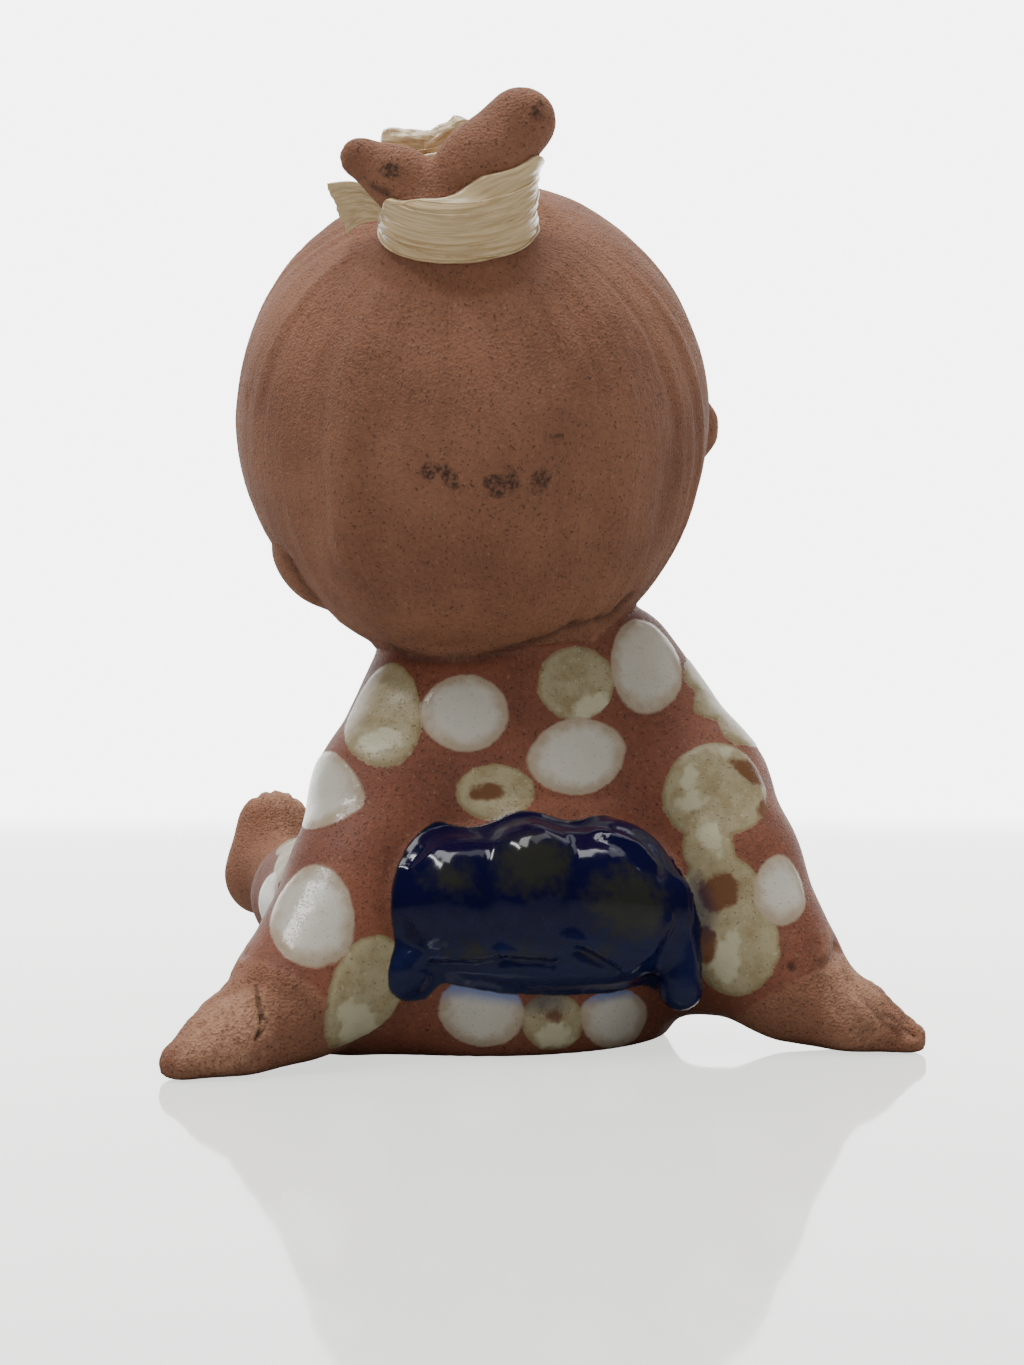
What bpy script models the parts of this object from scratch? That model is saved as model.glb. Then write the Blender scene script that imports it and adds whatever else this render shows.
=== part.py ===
"""Small fired-clay figurine of a seated girl who leans back on her hands.

She sits on the floor with her legs out in front of her, her head tipped towards her left
shoulder. Her hair is drawn into a topknot that splits into two lobes, with a wound tape
tied round its foot. A sash goes round her waist and ends in a big bow behind.

The origin is in the middle of the seat's flat underside. She faces -Y and +Z is up.
"""
from itertools import permutations, product

import bmesh
import bpy
import numpy as np
from mathutils import Matrix

# Sizes in metres
FIGURE_HEIGHT = 0.0785     # floor to the tip of the taller lobe
TAPE_WIDTH = 0.0064        # of the wound band, along the topknot
TAPE_THICKNESS = 0.0007    # of the windings together
TAPE_CLEARANCE = 0.0003    # between the tape and the clay
TAPE_KNOT = 0.0021         # radius of the knot in front of the topknot
TAPE_TAIL = 0.0050         # length of the loose end
SKIN_CELL = 0.0010         # cell in which the clay's surface is found
GIRL_FACES = 7800          # triangles kept on the clay
TAPE_STEPS = 44            # places round the band
TAPE_ROWS = 6              # rows across the band
TAPE_PROBES = 41           # places tried across it for room

# Pose and carving are shares of the height, in parts of which she is 78.5 high
PARTS_HIGH = 78.5
PART = FIGURE_HEIGHT / PARTS_HIGH

# Head, with the roll that lays it towards her left shoulder
HEAD_CENTRE = (2.3, 0.5, 55.0)
HEAD_RADII = (20.8, 20.5, 20.8)
HEAD_ROLL = 21.5
NAPE_CENTRE, NAPE_RADII = (2.4, 3.6, 47.2), (16.4, 13.6, 13.7)
EAR_RADII = (1.9, 2.7, 3.7)
EAR_DROP = 21.5            # degrees below the middle of the head
EAR_REACH = 20.4           # from the middle of the head
# Places on the face are its right, up and out, in the head's rolled axes
NOSE_PLACE, NOSE_RADII = (0.0, -3.4, 20.2), (1.5, 1.3, 1.2)
CHEEK_PLACE, CHEEK_RADII = (8.6, -8.2, 13.2), (6.4, 5.0, 5.6)

# Topknot: its foot is an oval drum that leans back at the crown
KNOT_AXIS = (0.16, 0.69, 0.71)
KNOT_CENTRE = (7.0, 16.9, 69.9)
KNOT_WIDTH, KNOT_DEPTH = 5.9, 4.4
KNOT_SINK = 7.0            # how far the drum goes down into the head
KNOT_RISE = 2.6            # how far it goes up past its middle
KNOT_EDGE = 1.2            # radius of its edges
KNOT_TURN = 1.02           # angle round the foot at which the tape is knotted
TAIL_TURN = 0.35           # angle round the foot at which the loose end comes out
LEFT_LOBE = ((9.0, 17.6, 70.2, 3.0), (11.9, 17.3, 71.8, 2.4), (15.0, 16.9, 73.4, 1.65))
RIGHT_LOBE = ((8.1, 17.6, 69.8, 3.4), (5.4, 19.7, 72.6, 3.35), (2.6, 20.9, 76.1, 2.7))
LOBE_FLATNESS = 0.79

# Body in its robe
BODY = ((0.0, 1.0, 10.0, 14.4), (-0.6, 0.6, 32.0, 8.6))
SEAT = ((0.6, 0.4, 4.0, 16.2), (0.2, 0.5, 12.0, 14.6))
SEAT_FLATNESS = 0.9
SASH_HEIGHT, SASH_WIDTH, SASH_PROUD = 16.6, 8.6, 0.7
LEFT_ARM = ((5.2, 1.0, 30.5, 6.4), (10.6, 6.0, 21.4, 6.3), (13.9, 9.8, 15.0, 5.4),
            (18.6, 13.8, 7.4, 5.3))
RIGHT_ARM = ((-10.2, 1.0, 32.4, 6.3), (-16.5, 6.0, 21.4, 6.5), (-18.5, 9.6, 15.2, 6.0),
             (-21.4, 13.6, 7.8, 5.3))
LEFT_FOLD = ((8.0, 5.0, 8.0, 7.0), (14.6, 9.6, 6.0, 6.0))
RIGHT_FOLD = ((-9.0, 5.0, 10.0, 7.0), (-17.4, 9.6, 8.4, 5.6))
LEFT_HAND = ((21.0, 15.0, 4.6, 4.9), (25.2, 17.2, 2.6, 3.6), (29.0, 19.1, 1.2, 2.0))
RIGHT_HAND = ((-23.0, 14.6, 4.6, 4.6), (-27.2, 17.2, 2.6, 3.3), (-31.0, 19.3, 1.1, 1.8))
HAND_FLATNESS = 0.9
SKIRT = 2.5                # what is modelled below the floor and cut off again
LEG = ((7.0, -5.0, 9.6, 9.0), (14.2, -23.0, 10.8, 5.4))
ANKLE = ((14.2, -22.0, 11.0, 3.6), (17.0, -31.0, 12.6, 3.3))
FOOT = ((17.4, -31.8, 12.2, 3.9), (16.4, -33.0, 17.0, 3.8))
FOOT_FLATNESS, FOOT_SPLAY = 0.72, 12.0

# Bow behind the waist: three puffs, the flap under them and the glaze that ran off it
BOW_LEFT = ((6.6, 13.6, 12.9), (6.0, 4.6, 5.7))
BOW_MIDDLE = ((0.6, 14.4, 13.2), (5.4, 5.2, 6.8))
BOW_RIGHT = ((-6.2, 14.2, 12.9), (6.2, 5.4, 6.6))
BOW_FLAP = ((-1.5, 13.4, 8.2), (9.4, 4.8, 2.9))
BOW_DROP = ((10.7, 15.0, 7.6), (1.6, 1.6, 1.6))
BOW_RUN = ((-11.6, 15.8, 13.0, 1.1), (-12.4, 15.6, 5.4, 1.5))

# Widths of the fillets that join the forms
NAPE_FILLET, EAR_FILLET, CHEEK_FILLET, NOSE_FILLET = 3.0, 0.8, 4.0, 1.4
LOBE_JOINT, NOTCH_FILLET, LOBE_FILLET, CROWN_FILLET = 1.0, 0.4, 0.8, 1.5
SEAT_FILLET, ARM_FILLET, ARM_JOINT, FOLD_FILLET = 4.0, 5.0, 2.0, 4.0
SASH_EDGE, SASH_FILLET, NECK_FILLET = 0.8, 0.6, 1.6
HAND_FILLET, HAND_JOINT, ANKLE_FILLET, HEM_FILLET, LEG_FILLET = 2.5, 1.0, 2.0, 0.5, 3.0
PUFF_FILLET, FLAP_FILLET, RUN_FILLET, BOW_FILLET = 2.4, 1.2, 2.0, 1.2

# The tape's knot and loose end, as shares of the sizes that they are measured in
BAND_EDGE = 0.55           # thickness at the band's edges, of its full thickness
BAND_CLEAR = 0.4           # least thickness where the clay comes out, of the full one
KNOT_LIFT = 0.6            # up the band, of half its width
KNOT_OUT = 0.4             # out from the band, of the knot's radius
KNOT_SHAPE = (1.4, 0.9, 0.9)
TAIL_LIFT = -0.3           # up the band, of half its width
TAIL_WAY = (0.75, 0.65)    # across the topknot and forward
TAIL_MIDDLE = 0.35         # along the loose end, of its length
TAIL_LONG, TAIL_WIDE, TAIL_THICK = 0.65, 0.7, 0.5

# Corners of a tetrahedron in turn: one against three, then two against two
TETRA_CASES = ((0, 1, 2, 3, False), (1, 0, 3, 2, False), (2, 3, 0, 1, False),
               (3, 2, 1, 0, False), (0, 1, 2, 3, True), (0, 2, 3, 1, True),
               (0, 3, 1, 2, True), (1, 2, 0, 3, True), (1, 3, 2, 0, True),
               (2, 3, 0, 1, True))


def unit(values):
    """The direction of a vector, one long."""
    values = np.array(values, np.float32)
    return values / np.linalg.norm(values)


def turned(pitch_y=0.0, roll_x=0.0, yaw_z=0.0):
    """Axes, as columns, turned about X, then Y, then Z, in degrees."""
    x, y, z = (Matrix.Rotation(np.radians(a), 3, k)
               for a, k in ((roll_x, "X"), (pitch_y, "Y"), (yaw_z, "Z")))
    return np.array(z @ y @ x, np.float32)


def blend(a, b, width):
    """Join two distance fields with a fillet about as wide as the given width."""
    near = np.maximum(width - np.abs(a - b), 0) / width
    return np.minimum(a, b) - near * near * width / 4


def ellipsoid(p, centre, radii, turn=None):
    """Distance from points to an ellipsoid, negative inside."""
    q = p - np.array(centre, np.float32)
    q = q if turn is None else q @ turn
    radii = np.array(radii, np.float32)
    near = np.linalg.norm(q / radii, axis=-1)
    return near * (near - 1) / np.maximum(np.linalg.norm(q / radii ** 2, axis=-1), 1e-6)


def capsule(p, first, last, thin=1.0, across=(0, 0, 1)):
    """Distance to a ball swept from one end to the other while its radius changes.

    Each end is x, y, z and radius. A capsule thinner than 1 is flattened across."""
    n = unit(across)
    middle = (np.array(first[:3], np.float32) + np.array(last[:3], np.float32)) / 2
    stretch = 1 / thin - 1
    a, b = ((e := np.array(end[:3], np.float32) - middle) + (e @ n) * stretch * n
            for end in (first, last))
    q = p - middle
    q = q + (q @ n)[..., None] * stretch * n
    along, lean = b - a, first[3] - last[3]
    length = along @ along
    side = length - lean * lean
    y = (q - a) @ along
    z = y - length
    off = (((q - a) * length - y[..., None] * along) ** 2).sum(-1)
    turn = np.sign(lean) * lean * lean * off
    past_last = np.sign(z) * side * z * z * length > turn
    past_first = np.sign(y) * side * y * y * length < turn
    d = (np.sqrt(np.maximum(off * side / length, 0)) + y * lean) / length - first[3]
    d = np.where(past_first, np.sqrt(off + y * y * length) / length - first[3], d)
    d = np.where(past_last, np.sqrt(off + z * z * length) / length - last[3], d)
    return d * min(thin, 1.0)


def chain(p, ends, width, thin=1.0, across=(0, 0, 1)):
    """Capsules in a row, blended at their joints."""
    d = capsule(p, ends[0], ends[1], thin, across)
    for first, last in zip(ends[1:-1], ends[2:]):
        d = blend(d, capsule(p, first, last, thin, across), width)
    return d


def knot_axes():
    """The topknot's own axes: its axis, the way across it and its flat way."""
    axis = unit(KNOT_AXIS)
    side = unit(np.cross(axis, (0, 0, 1)))
    return axis, side, np.cross(side, axis)


def drum(p, centre, wide, deep, low, high, edge):
    """Distance to an oval drum on the topknot's axis, from low to high along it."""
    axis, side, flat = knot_axes()
    q = p - np.array(centre, np.float32)
    x, y, z = q @ side, q @ flat, q @ axis
    near = np.sqrt((x / wide) ** 2 + (y / deep) ** 2)
    slope = np.sqrt((x / wide ** 2) ** 2 + (y / deep ** 2) ** 2)
    wall = near * (near - 1) / np.maximum(slope, 1e-6) + edge
    ends = np.abs(z - (low + high) / 2) - (high - low) / 2 + edge
    outside = np.sqrt(np.maximum(wall, 0) ** 2 + np.maximum(ends, 0) ** 2)
    return np.minimum(np.maximum(wall, ends), 0) + outside - edge


def mirrored(ends, sign):
    """The same capsule ends on her left (+1) or her right (-1)."""
    return tuple((x * sign, y, z, r) for x, y, z, r in ends)


def on_face(right, up, out):
    """A place on the head in its own rolled axes, measured from its middle."""
    turn = turned(pitch_y=HEAD_ROLL)
    return np.array(HEAD_CENTRE) + turn @ np.array((right, -out, up))


def head(p):
    """The round head with its full nape, low ears, nose and cheeks."""
    d = ellipsoid(p, HEAD_CENTRE, HEAD_RADII)
    d = blend(d, ellipsoid(p, NAPE_CENTRE, NAPE_RADII), NAPE_FILLET)
    drop = np.radians(EAR_DROP)
    for sign in (1, -1):
        place = on_face(sign * EAR_REACH * np.cos(drop), -EAR_REACH * np.sin(drop), 0.0)
        turn = turned(pitch_y=HEAD_ROLL + sign * EAR_DROP)
        d = blend(d, ellipsoid(p, place, EAR_RADII, turn), EAR_FILLET)
        right, up, out = CHEEK_PLACE
        cheek = ellipsoid(p, on_face(sign * right, up, out), CHEEK_RADII)
        d = blend(d, cheek, CHEEK_FILLET)
    nose = ellipsoid(p, on_face(*NOSE_PLACE), NOSE_RADII, turned(pitch_y=HEAD_ROLL))
    return blend(d, nose, NOSE_FILLET)


def topknot(p):
    """The bound foot of the topknot and the two lobes that it splits into."""
    flat = knot_axes()[2]
    foot = drum(p, KNOT_CENTRE, KNOT_WIDTH, KNOT_DEPTH, -KNOT_SINK, KNOT_RISE, KNOT_EDGE)
    left = chain(p, LEFT_LOBE, LOBE_JOINT, LOBE_FLATNESS, flat)
    right = chain(p, RIGHT_LOBE, LOBE_JOINT, LOBE_FLATNESS, flat)
    return blend(foot, blend(left, right, NOTCH_FILLET), LOBE_FILLET)


def body(p):
    """The body in its robe, with the sash that goes round the waist."""
    trunk = capsule(p, *BODY)
    seat = capsule(p, *SEAT, SEAT_FLATNESS, (0, 1, 0))
    d = blend(trunk, seat, SEAT_FILLET)
    band = np.abs(p[..., 2] - SASH_HEIGHT) - SASH_WIDTH / 2
    sash = -blend(-(d - SASH_PROUD), -band, SASH_EDGE)
    return d, sash


def arms(p):
    """Both sleeves, from the shoulders to the cuffs."""
    return np.minimum(chain(p, LEFT_ARM, ARM_JOINT), chain(p, RIGHT_ARM, ARM_JOINT))


def folds(p):
    """The cloth that hangs between each arm and the body."""
    return np.minimum(capsule(p, *LEFT_FOLD), capsule(p, *RIGHT_FOLD))


def hands(p):
    """Both hands, flat on the floor."""
    return np.minimum(chain(p, LEFT_HAND, HAND_JOINT, HAND_FLATNESS),
                      chain(p, RIGHT_HAND, HAND_JOINT, HAND_FLATNESS))


def legs(p):
    """Both legs under the robe, the bare ankles below its hem and the upright feet."""
    both = []
    for sign in (1, -1):
        robe = capsule(p, *mirrored(LEG, sign))
        splay = np.radians(FOOT_SPLAY) * sign
        sole = (np.sin(splay), -np.cos(splay), 0.1)
        ankle = capsule(p, *mirrored(ANKLE, sign))
        foot = capsule(p, *mirrored(FOOT, sign), FOOT_FLATNESS, sole)
        both.append(blend(robe, blend(ankle, foot, ANKLE_FILLET), HEM_FILLET))
    return blend(both[0], both[1], LEG_FILLET)


def bow(p):
    """The bow's puffs and flap, with the thick glaze that ran down from it."""
    d = blend(ellipsoid(p, *BOW_LEFT), ellipsoid(p, *BOW_MIDDLE), PUFF_FILLET)
    d = blend(d, ellipsoid(p, *BOW_RIGHT), PUFF_FILLET)
    d = blend(d, ellipsoid(p, *BOW_FLAP), FLAP_FILLET)
    d = blend(d, ellipsoid(p, *BOW_DROP), FLAP_FILLET)
    return blend(d, capsule(p, *BOW_RUN), RUN_FILLET)


def girl(p):
    """The whole clay figure, which goes on a little below the floor until it is cut."""
    d, sash = body(p)
    d = blend(d, arms(p), ARM_FILLET)
    d = blend(d, folds(p), FOLD_FILLET)
    d = blend(d, sash, SASH_FILLET)
    d = blend(d, legs(p), LEG_FILLET)
    d = blend(d, hands(p), HAND_FILLET)
    d = blend(d, bow(p), BOW_FILLET)
    top = blend(head(p), topknot(p), CROWN_FILLET)
    return np.maximum(blend(d, top, NECK_FILLET), -SKIRT - p[..., 2])


def around_knot(angle, along, out):
    """Places round the topknot's foot, a distance out from its wall."""
    axis, side, flat = knot_axes()
    wide, deep = KNOT_WIDTH + out, KNOT_DEPTH + out
    return (np.array(KNOT_CENTRE) + (wide * np.cos(angle))[..., None] * side
            + (deep * np.sin(angle))[..., None] * flat + along[..., None] * axis)


def tape_wall():
    """Inner and outer wall of the wound band, row by row along the topknot.

    The inner wall keeps its clearance from the clay, and the band's edges follow the
    head below and the lobes above, where the clay comes out as far as the band."""
    thick, gap, half = (v / PART for v in (TAPE_THICKNESS, TAPE_CLEARANCE, TAPE_WIDTH / 2))
    angle = np.linspace(0, 2 * np.pi, TAPE_STEPS, endpoint=False)
    probe = np.linspace(-half, half, TAPE_PROBES)
    around, along = np.meshgrid(angle, probe, indexing="ij")
    clear = girl(around_knot(around, along, gap + 0.5 * thick)) > gap
    low, high = np.array([free_run(row, probe) for row in clear]).T
    share = np.linspace(0, 1, TAPE_ROWS)
    along = low[:, None] + (high - low)[:, None] * share
    around = np.repeat(angle[:, None], TAPE_ROWS, 1)
    round_edge = BAND_EDGE + (1 - BAND_EDGE) * np.sin(np.pi * share) ** 0.5
    outer = around_knot(around, along, gap + thick * round_edge)
    inner = around_knot(around, along, 0 * along + gap)
    return keep_clear(inner, gap), keep_clear(outer, gap + BAND_CLEAR * thick)


def free_run(clear, probe):
    """First and last place of the longest run of clear places."""
    ends = np.flatnonzero(np.diff(np.concatenate([[0], clear.astype(int), [0]])))
    starts, stops = ends[::2], ends[1::2]
    longest = np.argmax(stops - starts)
    return probe[starts[longest]], probe[stops[longest] - 1]


def keep_clear(places, gap):
    """Move places that are closer to the clay than the gap out to it."""
    close = girl(places) < gap
    moved = places.copy()
    moved[close] = settle(lambda p: girl(p) - gap, places[close])
    return moved


def tape_band():
    """The wound band as a closed ring."""
    inner, outer = tape_wall()
    steps, rows = inner.shape[:2]
    ring = np.concatenate([outer, inner[:, ::-1]], 1)
    mesh = bmesh.new()
    corners = [[mesh.verts.new(place * PART) for place in row] for row in ring]
    for i in range(steps):
        for j in range(2 * rows):
            k, m = (i + 1) % steps, (j + 1) % (2 * rows)
            mesh.faces.new((corners[i][j], corners[k][j], corners[k][m], corners[i][m]))
    bmesh.ops.recalc_face_normals(mesh, faces=mesh.faces)
    return mesh


def tape_lump(place, radii, turn):
    """A smooth lump of tape that keeps clear of the clay."""
    gap = TAPE_CLEARANCE / PART
    mesh = bmesh.new()
    bmesh.ops.create_icosphere(mesh, subdivisions=2, radius=1.0)
    for vert in mesh.verts:
        spot = np.array(place) + turn @ (np.array(vert.co) * radii)
        vert.co = keep_clear(spot[None], gap)[0] * PART
    return mesh


def hair_tie(material):
    """The wound band, with the knot in front of it and the loose end at its side."""
    axis, side, flat = knot_axes()
    turn = np.stack((side, flat, axis), -1)
    size, thick, gap = TAPE_KNOT / PART, TAPE_THICKNESS / PART, TAPE_CLEARANCE / PART
    half = TAPE_WIDTH / PART / 2
    tie = to_object("hair_tie", tape_band(), material)
    place = around_knot(np.array(KNOT_TURN), np.array(KNOT_LIFT * half),
                        gap + thick + KNOT_OUT * size)
    knot = tape_lump(place, np.array(KNOT_SHAPE) * size, turn)
    length = TAPE_TAIL / PART
    root = around_knot(np.array(TAIL_TURN), np.array(TAIL_LIFT * half), gap + thick)
    way = unit(side * TAIL_WAY[0] + flat * TAIL_WAY[1])
    tail_turn = np.stack((way, np.cross(axis, way), axis), -1)
    tail = tape_lump(root + way * TAIL_MIDDLE * length,
                     (TAIL_LONG * length, TAIL_WIDE * size, TAIL_THICK * size), tail_turn)
    for name, lump in (("knot_piece", knot), ("tail_piece", tail)):
        piece = to_object(name, lump, material)
        piece.hide_render = True
        piece.display_type = "WIRE"
        join = tie.modifiers.new(name, "BOOLEAN")
        join.operation = "UNION"
        join.solver = "EXACT"
        join.object = piece
    return tie


def to_object(name, mesh, material):
    """A smooth object in the scene from a finished bmesh."""
    data = bpy.data.meshes.new(name)
    mesh.to_mesh(data)
    mesh.free()
    data.materials.append(material)
    data.shade_smooth()
    shape = bpy.data.objects.new(name, data)
    bpy.context.scene.collection.objects.link(shape)
    return shape


def surface(field, low, high, cell):
    """Triangles over the surface where a field is zero, always closed.

    Space is cut into cubes, and each cube into six tetrahedra round its diagonal. A
    tetrahedron that the surface crosses gives one triangle, or two where it has two
    corners inside. Returns corners in parts and rows of three corner numbers."""
    lines = [np.arange(a, b + cell, cell, dtype=np.float32) for a, b in zip(low, high)]
    value = np.stack([field(np.stack(np.meshgrid(x, *lines[1:], indexing="ij"), -1)[0])
                      for x in lines[0][:, None]])
    inside, counts = value.ravel() < 0, np.array(value.shape)
    stride = np.array([counts[1] * counts[2], counts[2], 1])
    cubes = np.stack(np.meshgrid(*[np.arange(n - 1) for n in counts], indexing="ij"), -1)
    cubes = (cubes @ stride).ravel()
    steps = np.array(list(product((0, 1), repeat=3))) @ stride
    filled = sum(inside[cubes + step].astype(int) for step in steps)
    cubes = cubes[(filled > 0) & (filled < len(steps))]
    rows = []
    for order in permutations(range(3)):
        tetra = cubes[:, None] + np.cumsum([0, *stride[list(order)]])
        if order not in ((0, 1, 2), (1, 2, 0), (2, 0, 1)):
            tetra = tetra[:, [0, 2, 1, 3]]
        for i, j, k, m, both in TETRA_CASES:
            a, b, c, d = (inside[tetra[:, n]] for n in (i, j, k, m))
            if both:
                wanted = [(a & b & ~c & ~d, ((i, k), (i, m), (j, m))),
                          (a & b & ~c & ~d, ((i, k), (j, m), (j, k)))]
            else:
                wanted = [(a & ~b & ~c & ~d, ((i, j), (i, k), (i, m))),
                          (~a & b & c & d, ((i, j), (i, m), (i, k)))]
            rows += [tetra[mask][:, pairs] for mask, pairs in wanted]
    ends = np.sort(np.concatenate(rows).reshape(-1, 2), 1)
    edges, number = np.unique(ends @ (len(inside), 1), return_inverse=True)
    ends = np.stack(np.divmod(edges, len(inside)), -1)
    first, last = value.ravel()[ends[:, 0]], value.ravel()[ends[:, 1]]
    share = np.clip(first / (first - last), 0.1, 0.9)[:, None]
    one, two = (np.stack(np.unravel_index(ends[:, n], counts), -1) for n in (0, 1))
    return np.array(low) + cell * (one + share * (two - one)), number.reshape(-1, 3)


def extent(field, step=3.0):
    """Low and high corners of a box that holds a field's solid with room to spare."""
    line = np.arange(-1.5 * PARTS_HIGH, 1.5 * PARTS_HIGH, step, dtype=np.float32)
    grid = np.stack(np.meshgrid(line, line, line, indexing="ij"), -1)
    near = grid[field(grid) < step]
    return near.min(0) - step, near.max(0) + step


def settle(field, corners, rounds=3, reach=0.02):
    """Move corners along the field's slope until they lie on its zero surface."""
    for _ in range(rounds):
        slope = np.stack([field(corners + reach * e) - field(corners - reach * e)
                          for e in np.eye(3)], -1) / (2 * reach)
        size = np.maximum((slope ** 2).sum(-1), 0.2)
        corners = corners - (field(corners) / size)[:, None] * slope
    return corners


def clay_object(name, field, cell, faces, material):
    """A smooth closed object over a field, thinned to about the given triangles."""
    corners, triangles = surface(field, *extent(field), cell / PART)
    mesh = bpy.data.meshes.new(name)
    mesh.from_pydata(settle(field, corners) * PART, [], triangles.tolist())
    mesh.materials.append(material)
    mesh.shade_smooth()
    mesh.validate()
    shape = bpy.data.objects.new(name, mesh)
    bpy.context.scene.collection.objects.link(shape)
    thin = shape.modifiers.new("Thin", "DECIMATE")
    thin.ratio = min(1.0, faces / len(triangles))
    thin.use_collapse_triangulate = True
    return shape


def floor_cutter():
    """A block below the floor that leaves the seat and the palms flat."""
    size = 3 * FIGURE_HEIGHT
    mesh = bpy.data.meshes.new("floor_cutter")
    block = bmesh.new()
    bmesh.ops.create_cube(block, size=size, matrix=Matrix.Translation((0, 0, -size / 2)))
    block.to_mesh(mesh)
    block.free()
    cutter = bpy.data.objects.new("floor_cutter", mesh)
    bpy.context.scene.collection.objects.link(cutter)
    cutter.hide_render = True
    cutter.display_type = "WIRE"
    return cutter


def cut_flat(shape, cutter):
    """Take away what reaches below the floor."""
    cut = shape.modifiers.new("Flat underside", "BOOLEAN")
    cut.operation = "DIFFERENCE"
    cut.solver = "EXACT"
    cut.object = cutter


def finish(name, colour, roughness):
    """A plain coloured material."""
    material = bpy.data.materials.new(name)
    material.use_nodes = True
    shader = material.node_tree.nodes["Principled BSDF"]
    shader.inputs["Base Color"].default_value = (*colour, 1.0)
    shader.inputs["Roughness"].default_value = roughness
    shader.inputs["Metallic"].default_value = 0.0
    return material


def main():
    """Clear the scene and build the clay girl and her hair tie."""
    for old in list(bpy.data.objects):
        bpy.data.objects.remove(old, do_unlink=True)
    clay = finish("fired_clay", (0.17, 0.075, 0.045), 0.85)
    tape = finish("glossy_tape", (0.55, 0.43, 0.28), 0.35)
    figure = clay_object("clay_girl", girl, SKIN_CELL, GIRL_FACES, clay)
    cut_flat(figure, floor_cutter())
    hair_tie(tape)


main()
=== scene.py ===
"""Looks of a small fired-clay figurine of a seated girl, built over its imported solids.

The forms are worked out in millimetres and finished pieces are in metres, at the origin.
She faces -Y, +Z is up, and the middle of the seat's underside is the origin.
"""
import logging
from dataclasses import dataclass
from enum import Enum
from itertools import permutations, product
from typing import Callable

import bmesh
import bpy
import numpy as np
from mathutils import Matrix, Vector


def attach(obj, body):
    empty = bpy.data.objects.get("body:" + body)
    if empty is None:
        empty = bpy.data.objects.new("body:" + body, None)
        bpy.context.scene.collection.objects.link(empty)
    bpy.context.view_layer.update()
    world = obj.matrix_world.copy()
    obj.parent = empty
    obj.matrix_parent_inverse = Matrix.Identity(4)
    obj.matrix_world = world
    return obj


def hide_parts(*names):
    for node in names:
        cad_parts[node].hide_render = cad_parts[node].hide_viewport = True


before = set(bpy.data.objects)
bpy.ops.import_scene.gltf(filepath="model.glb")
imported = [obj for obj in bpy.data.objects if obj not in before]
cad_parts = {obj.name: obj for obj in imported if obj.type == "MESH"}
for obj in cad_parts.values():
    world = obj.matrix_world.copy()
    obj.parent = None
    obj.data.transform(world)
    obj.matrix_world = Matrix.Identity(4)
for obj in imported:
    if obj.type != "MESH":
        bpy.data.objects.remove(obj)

LOG = logging.getLogger("figurine")
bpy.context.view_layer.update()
MM = 0.001
Array = np.ndarray
Field = Callable[[Array], Array]
Ends = tuple[tuple[float, ...], ...]

# Head, with the roll that lays it towards her left shoulder
HEAD_CENTRE = (2.3, 0.5, 55.0)
HEAD_RADII = (20.8, 20.5, 20.8)
HEAD_ROLL = 21.5
NAPE_CENTRE, NAPE_RADII = (2.4, 3.6, 47.2), (16.4, 13.6, 13.7)
EAR_RADII, EAR_DROP, EAR_REACH = (1.9, 2.7, 3.7), 21.5, 20.4
NOSE_PLACE, NOSE_RADII = (0.0, -3.4, 20.2), (1.5, 1.3, 1.2)
CHEEK_PLACE, CHEEK_RADII = (8.6, -8.2, 13.2), (6.4, 5.0, 5.6)

# Topknot
KNOT_AXIS = (0.16, 0.69, 0.71)
KNOT_CENTRE = (7.0, 16.9, 69.9)
KNOT_WIDTH, KNOT_DEPTH, KNOT_SINK, KNOT_RISE = 5.9, 4.4, 7.0, 2.6
KNOT_EDGE = 1.2
LEFT_LOBE = ((9.0, 17.6, 70.2, 3.0), (11.9, 17.3, 71.8, 2.4), (15.0, 16.9, 73.4, 1.65))
RIGHT_LOBE = ((8.1, 17.6, 69.8, 3.4), (5.4, 19.7, 72.6, 3.35), (2.6, 20.9, 76.1, 2.7))
LOBE_FLATNESS = 0.79

# Body in its robe
BODY = ((0.0, 1.0, 10.0, 14.4), (-0.6, 0.6, 32.0, 8.6))
SEAT = ((0.6, 0.4, 4.0, 16.2), (0.2, 0.5, 12.0, 14.6))
SEAT_FLATNESS = 0.9
SASH_HEIGHT, SASH_WIDTH, SASH_PROUD = 16.6, 8.6, 0.7
LEFT_ARM = ((5.2, 1.0, 30.5, 6.4), (10.6, 6.0, 21.4, 6.3), (13.9, 9.8, 15.0, 5.4),
            (18.6, 13.8, 7.4, 5.3))
RIGHT_ARM = ((-10.2, 1.0, 32.4, 6.3), (-16.5, 6.0, 21.4, 6.5), (-18.5, 9.6, 15.2, 6.0),
             (-21.4, 13.6, 7.8, 5.3))
LEFT_FOLD = ((8.0, 5.0, 8.0, 7.0), (14.6, 9.6, 6.0, 6.0))
RIGHT_FOLD = ((-9.0, 5.0, 10.0, 7.0), (-17.4, 9.6, 8.4, 5.6))
LEFT_HAND = ((21.0, 15.0, 4.6, 4.9), (25.2, 17.2, 2.6, 3.6), (29.0, 19.1, 1.2, 2.0))
RIGHT_HAND = ((-23.0, 14.6, 4.6, 4.6), (-27.2, 17.2, 2.6, 3.3), (-31.0, 19.3, 1.1, 1.8))
HAND_FLATNESS = 0.9
LEG = ((7.0, -5.0, 9.6, 9.0), (14.2, -23.0, 10.8, 5.4))
ANKLE = ((14.2, -22.0, 11.0, 3.6), (17.0, -31.0, 12.6, 3.3))
FOOT = ((17.4, -31.8, 12.2, 3.9), (16.4, -33.0, 17.0, 3.8))
FOOT_FLATNESS, FOOT_SPLAY = 0.72, 12.0

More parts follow.
